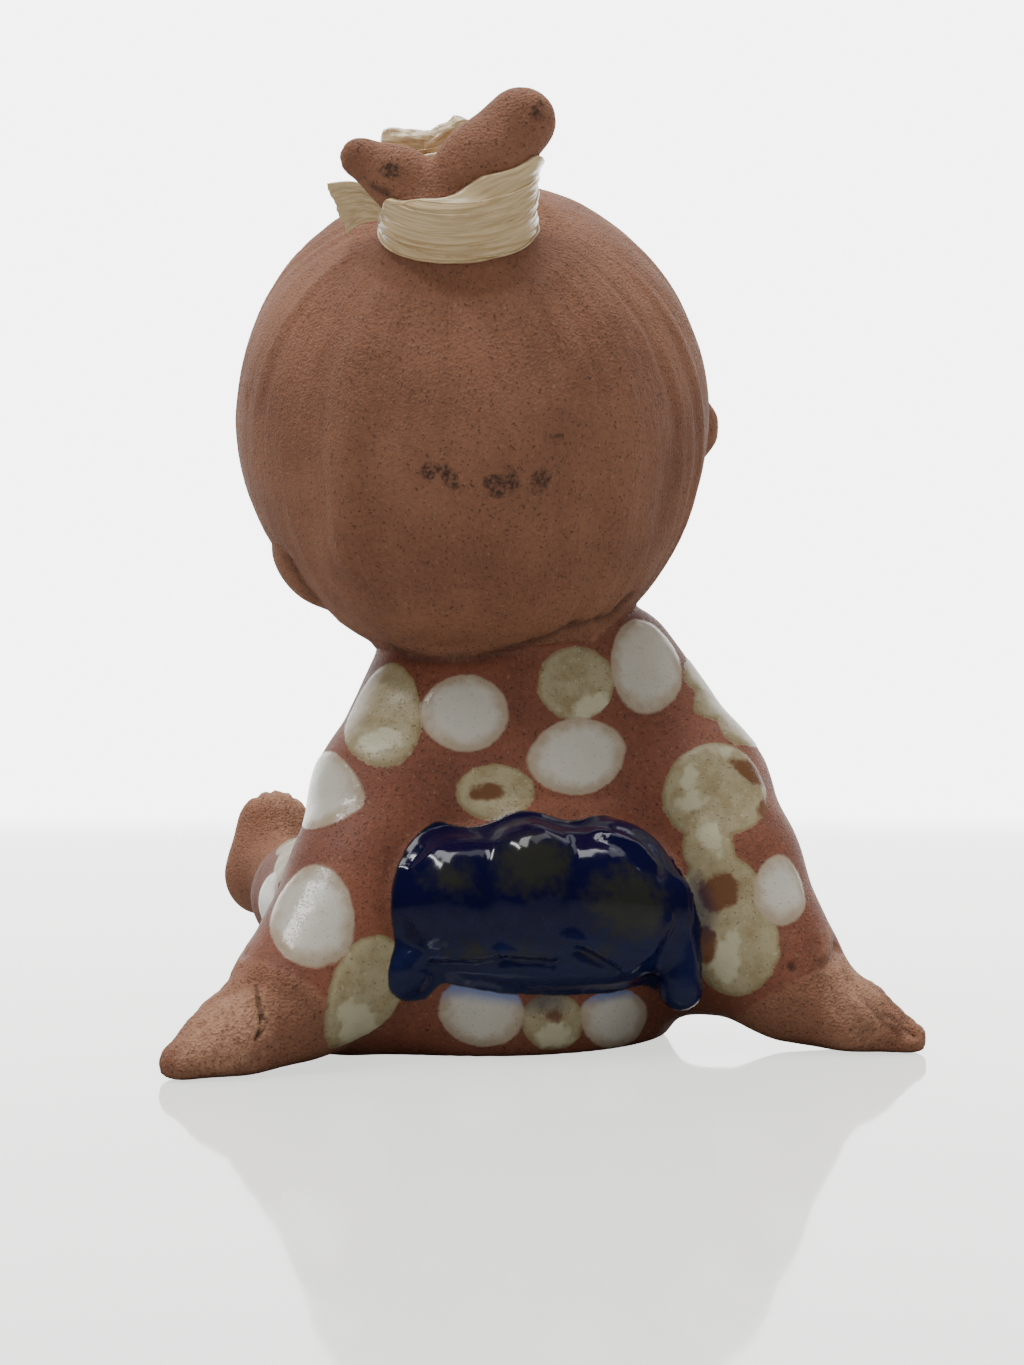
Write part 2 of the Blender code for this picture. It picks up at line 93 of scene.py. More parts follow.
# Bow behind the waist
BOW_LEFT = ((6.6, 13.6, 12.9), (6.0, 4.6, 5.7))
BOW_MIDDLE = ((0.6, 14.4, 13.2), (5.4, 5.2, 6.8))
BOW_RIGHT = ((-6.2, 14.2, 12.9), (6.2, 5.4, 6.6))
BOW_FLAP = ((-1.5, 13.4, 8.2), (9.4, 4.8, 2.9))
BOW_DROP = ((10.7, 15.0, 7.6), (1.6, 1.6, 1.6))
BOW_RUN = ((-11.6, 15.8, 13.0, 1.1), (-12.4, 15.6, 5.4, 1.5))

# Widths of the fillets that join the forms
NAPE_FILLET, EAR_FILLET, CHEEK_FILLET, NOSE_FILLET = 3.0, 0.8, 4.0, 1.4
LOBE_JOINT, NOTCH_FILLET, LOBE_FILLET, CROWN_FILLET = 1.0, 0.4, 0.8, 1.5
SEAT_FILLET, ARM_FILLET, ARM_JOINT, FOLD_FILLET = 4.0, 5.0, 2.0, 4.0
SASH_EDGE, SASH_FILLET, NECK_FILLET = 0.8, 0.6, 1.6
HAND_FILLET, HAND_JOINT, ANKLE_FILLET, HEM_FILLET, LEG_FILLET = 2.5, 1.0, 2.0, 0.5, 3.0
PUFF_FILLET, FLAP_FILLET, RUN_FILLET, BOW_FILLET = 2.4, 1.2, 2.0, 1.2
UNDERSIDE_EDGE = 0.7

FAR = 6.0                  # distances on the surface are cut off here
SLOPE_REACH = 0.02         # how far apart a field is read to find its slope

# Corners of a tetrahedron in turn: one against three, then two against two
TETRA_CASES = ((0, 1, 2, 3, False), (1, 0, 3, 2, False), (2, 3, 0, 1, False),
               (3, 2, 1, 0, False), (0, 1, 2, 3, True), (0, 2, 3, 1, True),
               (0, 3, 1, 2, True), (1, 2, 0, 3, True), (1, 3, 2, 0, True),
               (2, 3, 0, 1, True))


def unit(values: Array) -> Array:
    """The direction of a vector, one long."""
    values = np.array(values, np.float64)
    return values / np.linalg.norm(values, axis=-1, keepdims=True)


def turned(pitch_y: float) -> Array:
    """Axes, as columns, turned about Y by degrees."""
    return np.array(Matrix.Rotation(np.radians(pitch_y), 3, "Y"), np.float64)


def smooth(value: Array, low: float, high: float) -> Array:
    """A soft step from 0 at low to 1 at high."""
    share = np.clip((value - low) / (high - low), 0, 1)
    return share * share * (3 - 2 * share)


def blend(a: Array, b: Array, width: float) -> Array:
    """Join two distance fields with a fillet about as wide as the given width."""
    near = np.maximum(width - np.abs(a - b), 0) / width
    return np.minimum(a, b) - near * near * width / 4


def ellipsoid(p: Array, centre: tuple, radii: tuple, turn: Array | None = None) -> Array:
    """Distance from points to an ellipsoid, negative inside.

    Args:
        p: Points, one per row.
        centre: The ellipsoid's middle.
        radii: Its three half sizes.
        turn: Its axes as columns, if it is turned.

    Returns:
        One distance for each point.
    """
    q = p - np.array(centre)
    q = q if turn is None else q @ turn
    radii = np.array(radii)
    near = np.linalg.norm(q / radii, axis=-1)
    return near * (near - 1) / np.maximum(np.linalg.norm(q / radii ** 2, axis=-1), 1e-6)


def capsule(p: Array, first: tuple, last: tuple, thin: float = 1.0,
            across: tuple = (0, 0, 1)) -> Array:
    """Distance to a ball swept from one end to the other while its radius changes.

    Args:
        p: Points, one per row.
        first: x, y, z and radius of one end.
        last: x, y, z and radius of the other end.
        thin: Below 1 the capsule is flattened to this share.
        across: The way in which it is flattened.

    Returns:
        One distance for each point.
    """
    n = unit(across)
    middle = (np.array(first[:3]) + np.array(last[:3])) / 2
    stretch = 1 / thin - 1
    a, b = ((e := np.array(end[:3]) - middle) + (e @ n) * stretch * n
            for end in (first, last))
    q = p - middle
    q = q + (q @ n)[..., None] * stretch * n
    along, lean = b - a, first[3] - last[3]
    length = along @ along
    side = length - lean * lean
    y = (q - a) @ along
    z = y - length
    off = (((q - a) * length - y[..., None] * along) ** 2).sum(-1)
    turn = np.sign(lean) * lean * lean * off
    past_last = np.sign(z) * side * z * z * length > turn
    past_first = np.sign(y) * side * y * y * length < turn
    d = (np.sqrt(np.maximum(off * side / length, 0)) + y * lean) / length - first[3]
    d = np.where(past_first, np.sqrt(off + y * y * length) / length - first[3], d)
    d = np.where(past_last, np.sqrt(off + z * z * length) / length - last[3], d)
    return d * min(thin, 1.0)


def chain(p: Array, ends: Ends, width: float, thin: float = 1.0,
          across: tuple = (0, 0, 1)) -> Array:
    """Capsules in a row, blended at their joints.

    Args:
        p: Points, one per row.
        ends: x, y, z and radius of each joint.
        width: Width of the fillets at the joints.
        thin: Below 1 the capsules are flattened to this share.
        across: The way in which they are flattened.

    Returns:
        One distance for each point.
    """
    d = capsule(p, ends[0], ends[1], thin, across)
    for first, last in zip(ends[1:-1], ends[2:]):
        d = blend(d, capsule(p, first, last, thin, across), width)
    return d


def mirrored(ends: Ends, sign: int) -> Ends:
    """The same capsule ends on her left (+1) or her right (-1)."""
    return tuple((x * sign, y, z, r) for x, y, z, r in ends)


def lattice_noise(p: Array, cell: float, seed: int = 0) -> Array:
    """Smooth noise between -1 and 1 that repeats the same way at each run.

    Args:
        p: Points, one per row.
        cell: Size of the noise's cells.
        seed: Which noise.

    Returns:
        One value for each point.
    """
    q = p / cell + 1000.0
    base = np.floor(q).astype(np.int64)
    f = q - base
    f = f * f * (3 - 2 * f)
    total = np.zeros(len(p))
    for corner in product((0, 1), repeat=3):
        c = base + corner
        key = (c[:, 0] * 73856093) ^ (c[:, 1] * 19349663) ^ (c[:, 2] * 83492791)
        key = (key ^ (seed * 2654435761)) & 0xFFFFFFFF
        key = ((key ^ (key >> 13)) * 1274126177) & 0xFFFFFFFF
        value = ((key ^ (key >> 16)) & 0xFFFF) / 32767.5 - 1
        total += value * np.prod(np.where(corner, f, 1 - f), 1)
    return total


def knot_axes() -> tuple[Array, Array, Array]:
    """The topknot's own axes: its axis, the way across it and its flat way.

    Returns:
        Three directions, each one long.
    """
    axis = unit(KNOT_AXIS)
    side = unit(np.cross(axis, (0, 0, 1)))
    return axis, side, np.cross(side, axis)


def on_face(right: float, up: float, out: float) -> Array:
    """A place on the head in its own rolled axes, measured from its middle."""
    return np.array(HEAD_CENTRE) + turned(HEAD_ROLL) @ np.array((right, -out, up))


def face_axes(p: Array) -> tuple[Array, Array, Array]:
    """How far right, up and out points are on the face, in the head's rolled axes."""
    q = (p - np.array(HEAD_CENTRE)) @ turned(HEAD_ROLL)
    return q[:, 0], q[:, 2], -q[:, 1]


def head(p: Array) -> Array:
    """The round head with its full nape, low ears, nose and cheeks.

    Args:
        p: Points, one per row.

    Returns:
        One distance for each point.
    """
    d = ellipsoid(p, HEAD_CENTRE, HEAD_RADII)
    d = blend(d, ellipsoid(p, NAPE_CENTRE, NAPE_RADII), NAPE_FILLET)
    drop = np.radians(EAR_DROP)
    for sign in (1, -1):
        place = on_face(sign * EAR_REACH * np.cos(drop), -EAR_REACH * np.sin(drop), 0.0)
        turn = turned(HEAD_ROLL + sign * EAR_DROP)
        d = blend(d, ellipsoid(p, place, EAR_RADII, turn), EAR_FILLET)
        right, up, out = CHEEK_PLACE
        cheek = ellipsoid(p, on_face(sign * right, up, out), CHEEK_RADII)
        d = blend(d, cheek, CHEEK_FILLET)
    nose = ellipsoid(p, on_face(*NOSE_PLACE), NOSE_RADII, turned(HEAD_ROLL))
    return blend(d, nose, NOSE_FILLET)


def topknot(p: Array) -> Array:
    """The bound foot of the topknot and the two lobes that it splits into.

    Args:
        p: Points, one per row.

    Returns:
        One distance for each point.
    """
    axis, side, flat = knot_axes()
    q = p - np.array(KNOT_CENTRE)
    x, y, z = q @ side, q @ flat, q @ axis
    near = np.sqrt((x / KNOT_WIDTH) ** 2 + (y / KNOT_DEPTH) ** 2)
    slope = np.sqrt((x / KNOT_WIDTH ** 2) ** 2 + (y / KNOT_DEPTH ** 2) ** 2)
    wall = near * (near - 1) / np.maximum(slope, 1e-6) + KNOT_EDGE
    ends = np.abs(z - (KNOT_RISE - KNOT_SINK) / 2) - (KNOT_RISE + KNOT_SINK) / 2
    ends = ends + KNOT_EDGE
    outside = np.sqrt(np.maximum(wall, 0) ** 2 + np.maximum(ends, 0) ** 2)
    foot = np.minimum(np.maximum(wall, ends), 0) + outside - KNOT_EDGE
    left = chain(p, LEFT_LOBE, LOBE_JOINT, LOBE_FLATNESS, flat)
    right = chain(p, RIGHT_LOBE, LOBE_JOINT, LOBE_FLATNESS, flat)
    return blend(foot, blend(left, right, NOTCH_FILLET), LOBE_FILLET)


def bow(p: Array) -> Array:
    """The bow's puffs and flap, with the thick glaze that ran down from it.

    Args:
        p: Points, one per row.

    Returns:
        One distance for each point.
    """
    d = blend(ellipsoid(p, *BOW_LEFT), ellipsoid(p, *BOW_MIDDLE), PUFF_FILLET)
    d = blend(d, ellipsoid(p, *BOW_RIGHT), PUFF_FILLET)
    d = blend(d, ellipsoid(p, *BOW_FLAP), FLAP_FILLET)
    d = blend(d, ellipsoid(p, *BOW_DROP), FLAP_FILLET)
    return blend(d, capsule(p, *BOW_RUN), RUN_FILLET)


def members(p: Array) -> dict[str, Array]:
    """Distances to each member of the figure by itself.

    Args:
        p: Points, one per row.

    Returns:
        Distances by member: body, sash, arms, folds, hands, leg cloth, feet, bow, top.
    """
    d = blend(capsule(p, *BODY), capsule(p, *SEAT, SEAT_FLATNESS, (0, 1, 0)),
              SEAT_FILLET)
    band = np.abs(p[..., 2] - SASH_HEIGHT) - SASH_WIDTH / 2
    found = {"body": d, "sash": -blend(-(d - SASH_PROUD), -band, SASH_EDGE)}
    found["arms"] = np.minimum(chain(p, LEFT_ARM, ARM_JOINT),
                               chain(p, RIGHT_ARM, ARM_JOINT))
    found["folds"] = np.minimum(capsule(p, *LEFT_FOLD), capsule(p, *RIGHT_FOLD))
    found["hands"] = np.minimum(chain(p, LEFT_HAND, HAND_JOINT, HAND_FLATNESS),
                                chain(p, RIGHT_HAND, HAND_JOINT, HAND_FLATNESS))
    cloth, bare, both = [], [], []
    for sign in (1, -1):
        splay = np.radians(FOOT_SPLAY) * sign
        sole = (np.sin(splay), -np.cos(splay), 0.1)
        cloth.append(capsule(p, *mirrored(LEG, sign)))
        ankle = capsule(p, *mirrored(ANKLE, sign))
        foot = capsule(p, *mirrored(FOOT, sign), FOOT_FLATNESS, sole)
        bare.append(blend(ankle, foot, ANKLE_FILLET))
        both.append(blend(cloth[-1], bare[-1], HEM_FILLET))
    found["leg_cloth"], found["feet"] = np.minimum(*cloth), np.minimum(*bare)
    found["legs"] = blend(both[0], both[1], LEG_FILLET)
    found["bow"], found["top"] = bow(p), blend(head(p), topknot(p), CROWN_FILLET)
    return found


def girl(p: Array) -> Array:
    """Distance to the whole clay figure, without what would be below the floor.

    Args:
        p: Points, one per row.

    Returns:
        One distance for each point.
    """
    m = members(p)
    d = blend(m["body"], m["arms"], ARM_FILLET)
    d = blend(d, m["folds"], FOLD_FILLET)
    d = blend(d, m["sash"], SASH_FILLET)
    d = blend(d, m["legs"], LEG_FILLET)
    d = blend(d, m["hands"], HAND_FILLET)
    d = blend(d, m["bow"], BOW_FILLET)
    d = blend(d, m["top"], NECK_FILLET)
    return -blend(-d, p[..., 2], UNDERSIDE_EDGE)


def slope_of(field: Field, p: Array) -> Array:
    """The field's slope at each point."""
    return np.stack([field(p + SLOPE_REACH * e) - field(p - SLOPE_REACH * e)
                     for e in np.eye(3)], -1) / (2 * SLOPE_REACH)


def settle(field: Field, p: Array, rounds: int = 3) -> Array:
    """Move points along the field's slope until they lie on its zero surface.

    Args:
        field: The distance field.
        p: Points near its surface, one per row.
        rounds: How often they are moved.

    Returns:
        The moved points.
    """
    for _ in range(rounds):
        here = field(p)
        slope = np.stack([field(p + SLOPE_REACH * e) - here
                          for e in np.eye(3)], -1) / SLOPE_REACH
        size = np.maximum((slope ** 2).sum(-1), 0.2)
        p = p - (here / size)[:, None] * slope
    return p


def surface(field: Field, low: Array, high: Array, cell: float) -> tuple[Array, Array]:
    """Triangles over the surface where a field is zero, always closed.

    Args:
        field: The distance field.
        low: Low corner of a box round the surface.
        high: High corner of that box.
        cell: Size of the cubes, each cut into six tetrahedra.

    Returns:
        Corners in millimetres, and rows of three corner numbers.
    """
    lines = [np.arange(a, b + cell, cell) for a, b in zip(low, high)]
    value = np.stack([field(np.stack(np.meshgrid(x, *lines[1:], indexing="ij"), -1)[0])
                      for x in lines[0][:, None]])
    inside, counts = value.ravel() < 0, np.array(value.shape)
    stride = np.array([counts[1] * counts[2], counts[2], 1])
    cubes = np.stack(np.meshgrid(*[np.arange(n - 1) for n in counts], indexing="ij"), -1)
    cubes = (cubes @ stride).ravel()
    steps = np.array(list(product((0, 1), repeat=3))) @ stride
    filled = sum(inside[cubes + step].astype(int) for step in steps)
    cubes = cubes[(filled > 0) & (filled < len(steps))]
    rows = []
    for order in permutations(range(3)):
        tetra = cubes[:, None] + np.cumsum([0, *stride[list(order)]])
        if order not in ((0, 1, 2), (1, 2, 0), (2, 0, 1)):
            tetra = tetra[:, [0, 2, 1, 3]]
        for i, j, k, m, both in TETRA_CASES:
            a, b, c, d = (inside[tetra[:, n]] for n in (i, j, k, m))
            if both:
                wanted = [(a & b & ~c & ~d, ((i, k), (i, m), (j, m))),
                          (a & b & ~c & ~d, ((i, k), (j, m), (j, k)))]
            else:
                wanted = [(a & ~b & ~c & ~d, ((i, j), (i, k), (i, m))),
                          (~a & b & c & d, ((i, j), (i, m), (i, k)))]
            rows += [tetra[mask][:, pairs] for mask, pairs in wanted]
    ends = np.sort(np.concatenate(rows).reshape(-1, 2), 1)
    edges, number = np.unique(ends @ (len(inside), 1), return_inverse=True)
    ends = np.stack(np.divmod(edges, len(inside)), -1)
    first, last = value.ravel()[ends[:, 0]], value.ravel()[ends[:, 1]]
    share = np.clip(first / (first - last), 0.1, 0.9)[:, None]
    one, two = (np.stack(np.unravel_index(ends[:, n], counts), -1) for n in (0, 1))
    return np.array(low) + cell * (one + share * (two - one)), number.reshape(-1, 3)


def mesh_object(name: str, points: Array, faces: list) -> bpy.types.Object:
    """A smooth mesh object at the origin from points in millimetres.

    Args:
        name: The object's name.
        points: Points, one per row.
        faces: Rows of point numbers.

    Returns:
        The object, linked to the scene.
    """
    mesh = bpy.data.meshes.new(name)
    mesh.from_pydata((np.asarray(points) * MM).tolist(), [], faces)
    mesh.shade_smooth()
    made = bpy.data.objects.new(name, mesh)
    bpy.context.scene.collection.objects.link(made)
    return made


def bake(shape: bpy.types.Object) -> None:
    """Turn an object's modifiers into its plain mesh.

    Args:
        shape: The object.
    """
    graph = bpy.context.evaluated_depsgraph_get()
    mesh = bpy.data.meshes.new_from_object(shape.evaluated_get(graph))
    shape.modifiers.clear()
    shape.data = mesh
    mesh.shade_smooth()


def read_points(mesh: bpy.types.Mesh) -> Array:
    """A mesh's points in millimetres, one per row.

    Args:
        mesh: The mesh.

    Returns:
        The points.
    """
    p = np.empty(len(mesh.vertices) * 3, np.float32)
    mesh.vertices.foreach_get("co", p)
    return p.reshape(-1, 3).astype(float) / MM


def write_attribute(mesh: bpy.types.Mesh, name: str, values: Array) -> None:
    """Store one number, or a vector, for each point of a mesh.

    Args:
        mesh: The mesh.
        name: The attribute's name.
        values: One row for each point.
    """
    vector = values.ndim == 2
    kind = "FLOAT_VECTOR" if vector else "FLOAT"
    made = mesh.attributes.new(name, kind, "POINT")
    made.data.foreach_set("vector" if vector else "value",
                          values.astype(np.float32).ravel())


def line_distance(p: Array, line: Array, limit: float = 4.0) -> Array:
    """Distance from points to a line of straight runs, cut off at a limit.

    Args:
        p: Points, one per row.
        line: The line's corners, one per row.
        limit: Where the distance is cut off. If it is whole, so are the distances.

    Returns:
        One distance for each point.
    """
    found = np.full(len(p), limit)
    near = np.all((p > line.min(0) - limit) & (p < line.max(0) + limit), 1)
    q = p[near]
    best = np.full(len(q), limit)
    for a, b in zip(line[:-1], line[1:]):
        way = b - a
        share = np.clip((q - a) @ way / max(way @ way, 1e-9), 0, 1)
        best = np.minimum(best, np.linalg.norm(q - a - share[:, None] * way, axis=1))
    found[near] = best
    return found


@dataclass(frozen=True)
class PhotoView:
    """The place that the photograph was taken from; lengths in millimetres."""

    width: int = 1024
    height: int = 1365
    focal: float = 2050.0      # in the photograph's dots
    azimuth: float = 167.1
    distance: float = 185.0
    rise: float = 27.0
    shift: float = 1.4
    horizon: float = 731.0     # row of the photograph at the lens's own height
    sensor: float = 36.0

    def axes(self) -> tuple[Array, Array, Array, Array]:
        """The lens's place, and its right, up and forward ways.

        Returns:
            A place in millimetres and three directions.
        """
        angle = np.radians(self.azimuth)
        back = np.array([np.sin(angle), -np.cos(angle), 0.0])
        right = np.array([-back[1], back[0], 0.0])
        tilt = np.arctan((self.horizon - self.height / 2) / self.focal)
        rise = np.array([0, 0, 1.0])
        forward = -back * np.cos(tilt) + rise * np.sin(tilt)
        up = back * np.sin(tilt) + rise * np.cos(tilt)
        place = back * self.distance + right * self.shift + rise * self.rise
        return place, right, up, forward

    def project(self, p: Array) -> Array:
        """Where points fall in the photograph, column and row.

        Args:
            p: Points, one per row.

        Returns:
            Column and row of each point.
        """
        place, right, up, forward = self.axes()
        q = p - place
        deep = q @ forward
        return np.stack([self.width / 2 + self.focal * (q @ right) / deep,
                         self.height / 2 - self.focal * (q @ up) / deep], -1)

    def hit(self, dots: Array, field: Field) -> Array:
        """The places on the figure that the photograph shows at given dots.

        Args:
            dots: Column and row of each place.
            field: The figure's distance field.

        Returns:
            One place on the surface per dot; past the outline, the nearest one.
        """
        place, right, up, forward = self.axes()
        dots = np.array(dots, float)
        way = unit(forward + ((dots[:, :1] - self.width / 2) * right
                              - (dots[:, 1:] - self.height / 2) * up) / self.focal)
        far = np.full(len(dots), self.distance * 0.6)
        best, best_far = np.full(len(dots), 1e9), far.copy()
        for _ in range(80):
            d = field(place + far[:, None] * way)
            closer = d < best
            best, best_far = np.where(closer, d, best), np.where(closer, far, best_far)
            far = far + np.where(best > 0.005, np.maximum(d * 0.8, 0.02), 0)
        return settle(field, place + best_far[:, None] * way, 4)

    def make(self) -> None:
        """Set the scene's camera at that place."""
        place, right, up, forward = self.axes()
        data = bpy.data.cameras.new("photo_camera")
        data.sensor_width = self.sensor
        data.lens = self.focal * self.sensor / self.height
        data.clip_start, data.clip_end = 0.01, 20.0
        camera = bpy.data.objects.new("photo_camera", data)
        turn = np.stack([right, up, -forward], -1)
        camera.matrix_world = (Matrix.Translation(Vector(place * MM))
                               @ Matrix(turn.tolist()).to_4x4())
        bpy.context.scene.collection.objects.link(camera)
        bpy.context.scene.camera = camera


class Coat(Enum):
    """What a mark on the clay is made of."""

    WHITE = "white"
    CREAM = "cream"
    PALE = "pale"
    BROWN = "brown"
    HAZE = "haze"
    SMUDGE = "smudge"
    OLIVE = "olive"
    # Paler clay: partly dust, partly painted light standing in for the light from above and
    # the floor's bounce.
    DUST_AND_PAINTED_LIGHT = "dust_and_painted_light"


@dataclass(frozen=True)
class Mark:
    """An oval mark on the surface.

    A seen mark's place and size are in the photograph's dots. A hidden one has three
    numbers for its place and its size is in millimetres.
    """

    coat: Coat
    place: tuple[float, ...]
    wide: float
    high: float
    lean: float = 0.0

    def distance(self, p: Array, centre: Array, normal: Array,
                 view: PhotoView) -> Array:
        """Distance to the mark's edge in millimetres, negative on the mark.

        Args:
            p: Points on the surface, one per row.
            centre: The mark's middle on the surface.
            normal: The surface's normal there.
            view: Where the photograph was taken from.

        Returns:
            One distance for each point, cut off at FAR.
        """
        helper = (0, 0, 1) if abs(normal[2]) < 0.9 else (0, 1, 0)
        one = unit(np.cross(helper, normal))
        basis = np.stack([one, np.cross(normal, one)])
        lean = np.radians(self.lean)
        turn = np.array([[np.cos(lean), np.sin(lean)], [-np.sin(lean), np.cos(lean)]])
        shape = np.diag([2 / self.wide, 2 / self.high]) @ turn
        if len(self.place) == 2:
            ends = view.project(centre + 0.1 * basis) - view.project(centre)
            shape = shape @ (ends.T / 0.1)
        left, size, right = np.linalg.svd(shape)
        size = np.maximum(size, size.max() * 0.52)
        shape = left @ np.diag(size) @ right
        offset = p - centre
        ratio = np.linalg.norm(offset @ basis.T @ shape.T, axis=1)
        reach = 1 / size.min()
        found = (ratio - 1) / np.sqrt(size.prod())
        found = np.maximum(found, np.linalg.norm(offset, axis=1) - 1.3 * reach)
        found = np.maximum(found, np.abs(offset @ normal) - 0.8 * reach - 0.4)
        return np.clip(found, -FAR, FAR)


@dataclass(frozen=True)
class Cut:
    """A worked line on the surface: a groove, or a ridge where its height is above 0."""

    dots: tuple[tuple[float, ...], ...]
    height: float
    width: float
    # How much painted shade darkens the groove; on the face, how dark its painted line is.
    dark: float = 0.6


# Where the photograph shows them: column, row, width, height and lean in degrees
SEEN_MARKS = tuple(
    Mark(coat, row[:2], *row[2:])
    for coat, rows in (
        (Coat.WHITE, ((464, 714, 88, 78), (577, 757, 86, 76), (647, 664, 70, 94, -14),
            (321, 791, 50, 82, 8), (310, 914, 82, 100, 8), (781, 890, 50, 70, -8),
            (481, 1011, 86, 70, 14), (615, 1018, 64, 62))),
        (Coat.CREAM, ((381, 714, 72, 98, 22), (575, 684, 75, 76), (704, 673, 26, 44, -42),
            (722, 698, 32, 54, -40), (742, 726, 30, 54, -34), (495, 793, 80, 57),
            (284, 862, 14, 96, 18), (366, 993, 62, 122, 24), (718, 790, 104, 98),
            (708, 850, 50, 64, -20), (720, 896, 82, 84), (736, 950, 84, 92, 10),
            (553, 1021, 62, 58), (666, 997, 28, 50))),
        (Coat.PALE, ((710, 836, 20, 70, -26), (726, 960, 26, 84, 14), (688, 780, 14, 30, 10),
            (722, 752, 22, 10), (356, 1026, 34, 44, 30), (590, 706, 36, 22, -20),
            (692, 800, 26, 20), (553, 1034, 34, 24), (380, 742, 44, 20, -10))),
        (Coat.BROWN, ((720, 892, 42, 38), (701, 945, 34, 34), (748, 772, 38, 16, 42),
            (762, 808, 12, 34, 8), (551, 1013, 20, 13), (487, 793, 30, 18))),
        (Coat.HAZE, ((697, 906, 34, 70, -10), (545, 1000, 44, 22))),
        (Coat.SMUDGE, ((430, 470, 15, 24, 24), (450, 477, 14, 26, -28),
            (496, 484, 24, 28, 30), (510, 480, 13, 24, -14), (540, 478, 17, 28, 16),
            (554, 437, 9, 7), (391, 170, 36, 15, 28), (538, 111, 14, 17))),
        (Coat.OLIVE, ((532, 864, 70, 52), (630, 904, 70, 60, 20), (452, 878, 40, 26),
            (470, 952, 90, 14, 4), (600, 950, 62, 13, -26), (530, 951, 40, 12))),
        # Paler hands: partly dust, partly painted light.
        (Coat.DUST_AND_PAINTED_LIGHT, ((222, 1028, 96, 66, -42), (850, 985, 40, 90, -40))),
    ) for row in rows)

# On the hidden sides: x, y, z, width and height in millimetres
HIDDEN_MARKS = tuple(
    Mark(coat, row[:3], *row[3:])
    for coat, rows in (
        (Coat.WHITE, ((-13.0, -8.0, 27.5, 6.8, 6.2), (3.0, -10.5, 33.0, 5.4, 5.0),
            (15.0, -1.0, 20.0, 7.0, 7.6), (-21.0, 1.0, 25.0, 5.6, 5.8),
            (-22.0, 7.0, 9.0, 6.2, 6.2), (9.5, -14.0, 18.6, 7.6, 6.8),
            (-13.5, -20.0, 16.0, 6.4, 7.0), (19.6, -17.0, 10.0, 6.0, 6.4),
            (-8.0, -22.0, 10.0, 5.6, 6.2), (14.0, -6.0, 11.0, 6.4, 6.0),
            (-17.0, 0.0, 5.0, 6.0, 5.0), (16.0, -1.0, 4.4, 5.4, 5.0))),
        (Coat.CREAM, ((9.0, -7.0, 30.0, 6.0, 6.6), (-6.0, -11.0, 28.0, 5.6, 5.2),
            (-22.5, 3.0, 18.0, 6.6, 8.0), (17.0, 3.0, 9.5, 6.0, 7.4),
            (-9.0, -12.0, 19.0, 7.2, 6.6), (14.5, -20.5, 15.6, 6.0, 7.0),
            (-19.6, -16.0, 9.0, 6.6, 6.2), (1.5, -13.0, 12.6, 6.0, 5.6),
            (8.0, -22.0, 9.0, 5.6, 5.4), (-15.6, -5.0, 12.6, 6.8, 6.0))),
        (Coat.BROWN, ((-22.6, 3.0, 17.4, 2.6, 2.2), (-9.0, -12.0, 19.4, 2.4, 1.6),
            (17.0, 3.0, 10.0, 2.0, 2.6), (1.5, -13.0, 12.4, 1.8, 1.2))),
        (Coat.PALE, ((14.5, -20.5, 14.6, 3.2, 2.4), (-19.8, -16.0, 8.0, 3.2, 2.4))),
        # Paler patches in the same tone of dust and painted light.
        (Coat.DUST_AND_PAINTED_LIGHT, ((10.0, -33.0, 20.0, 8.0, 9.0), (-10.0, -33.0, 20.0, 8.0, 9.0))),
    ) for row in rows)
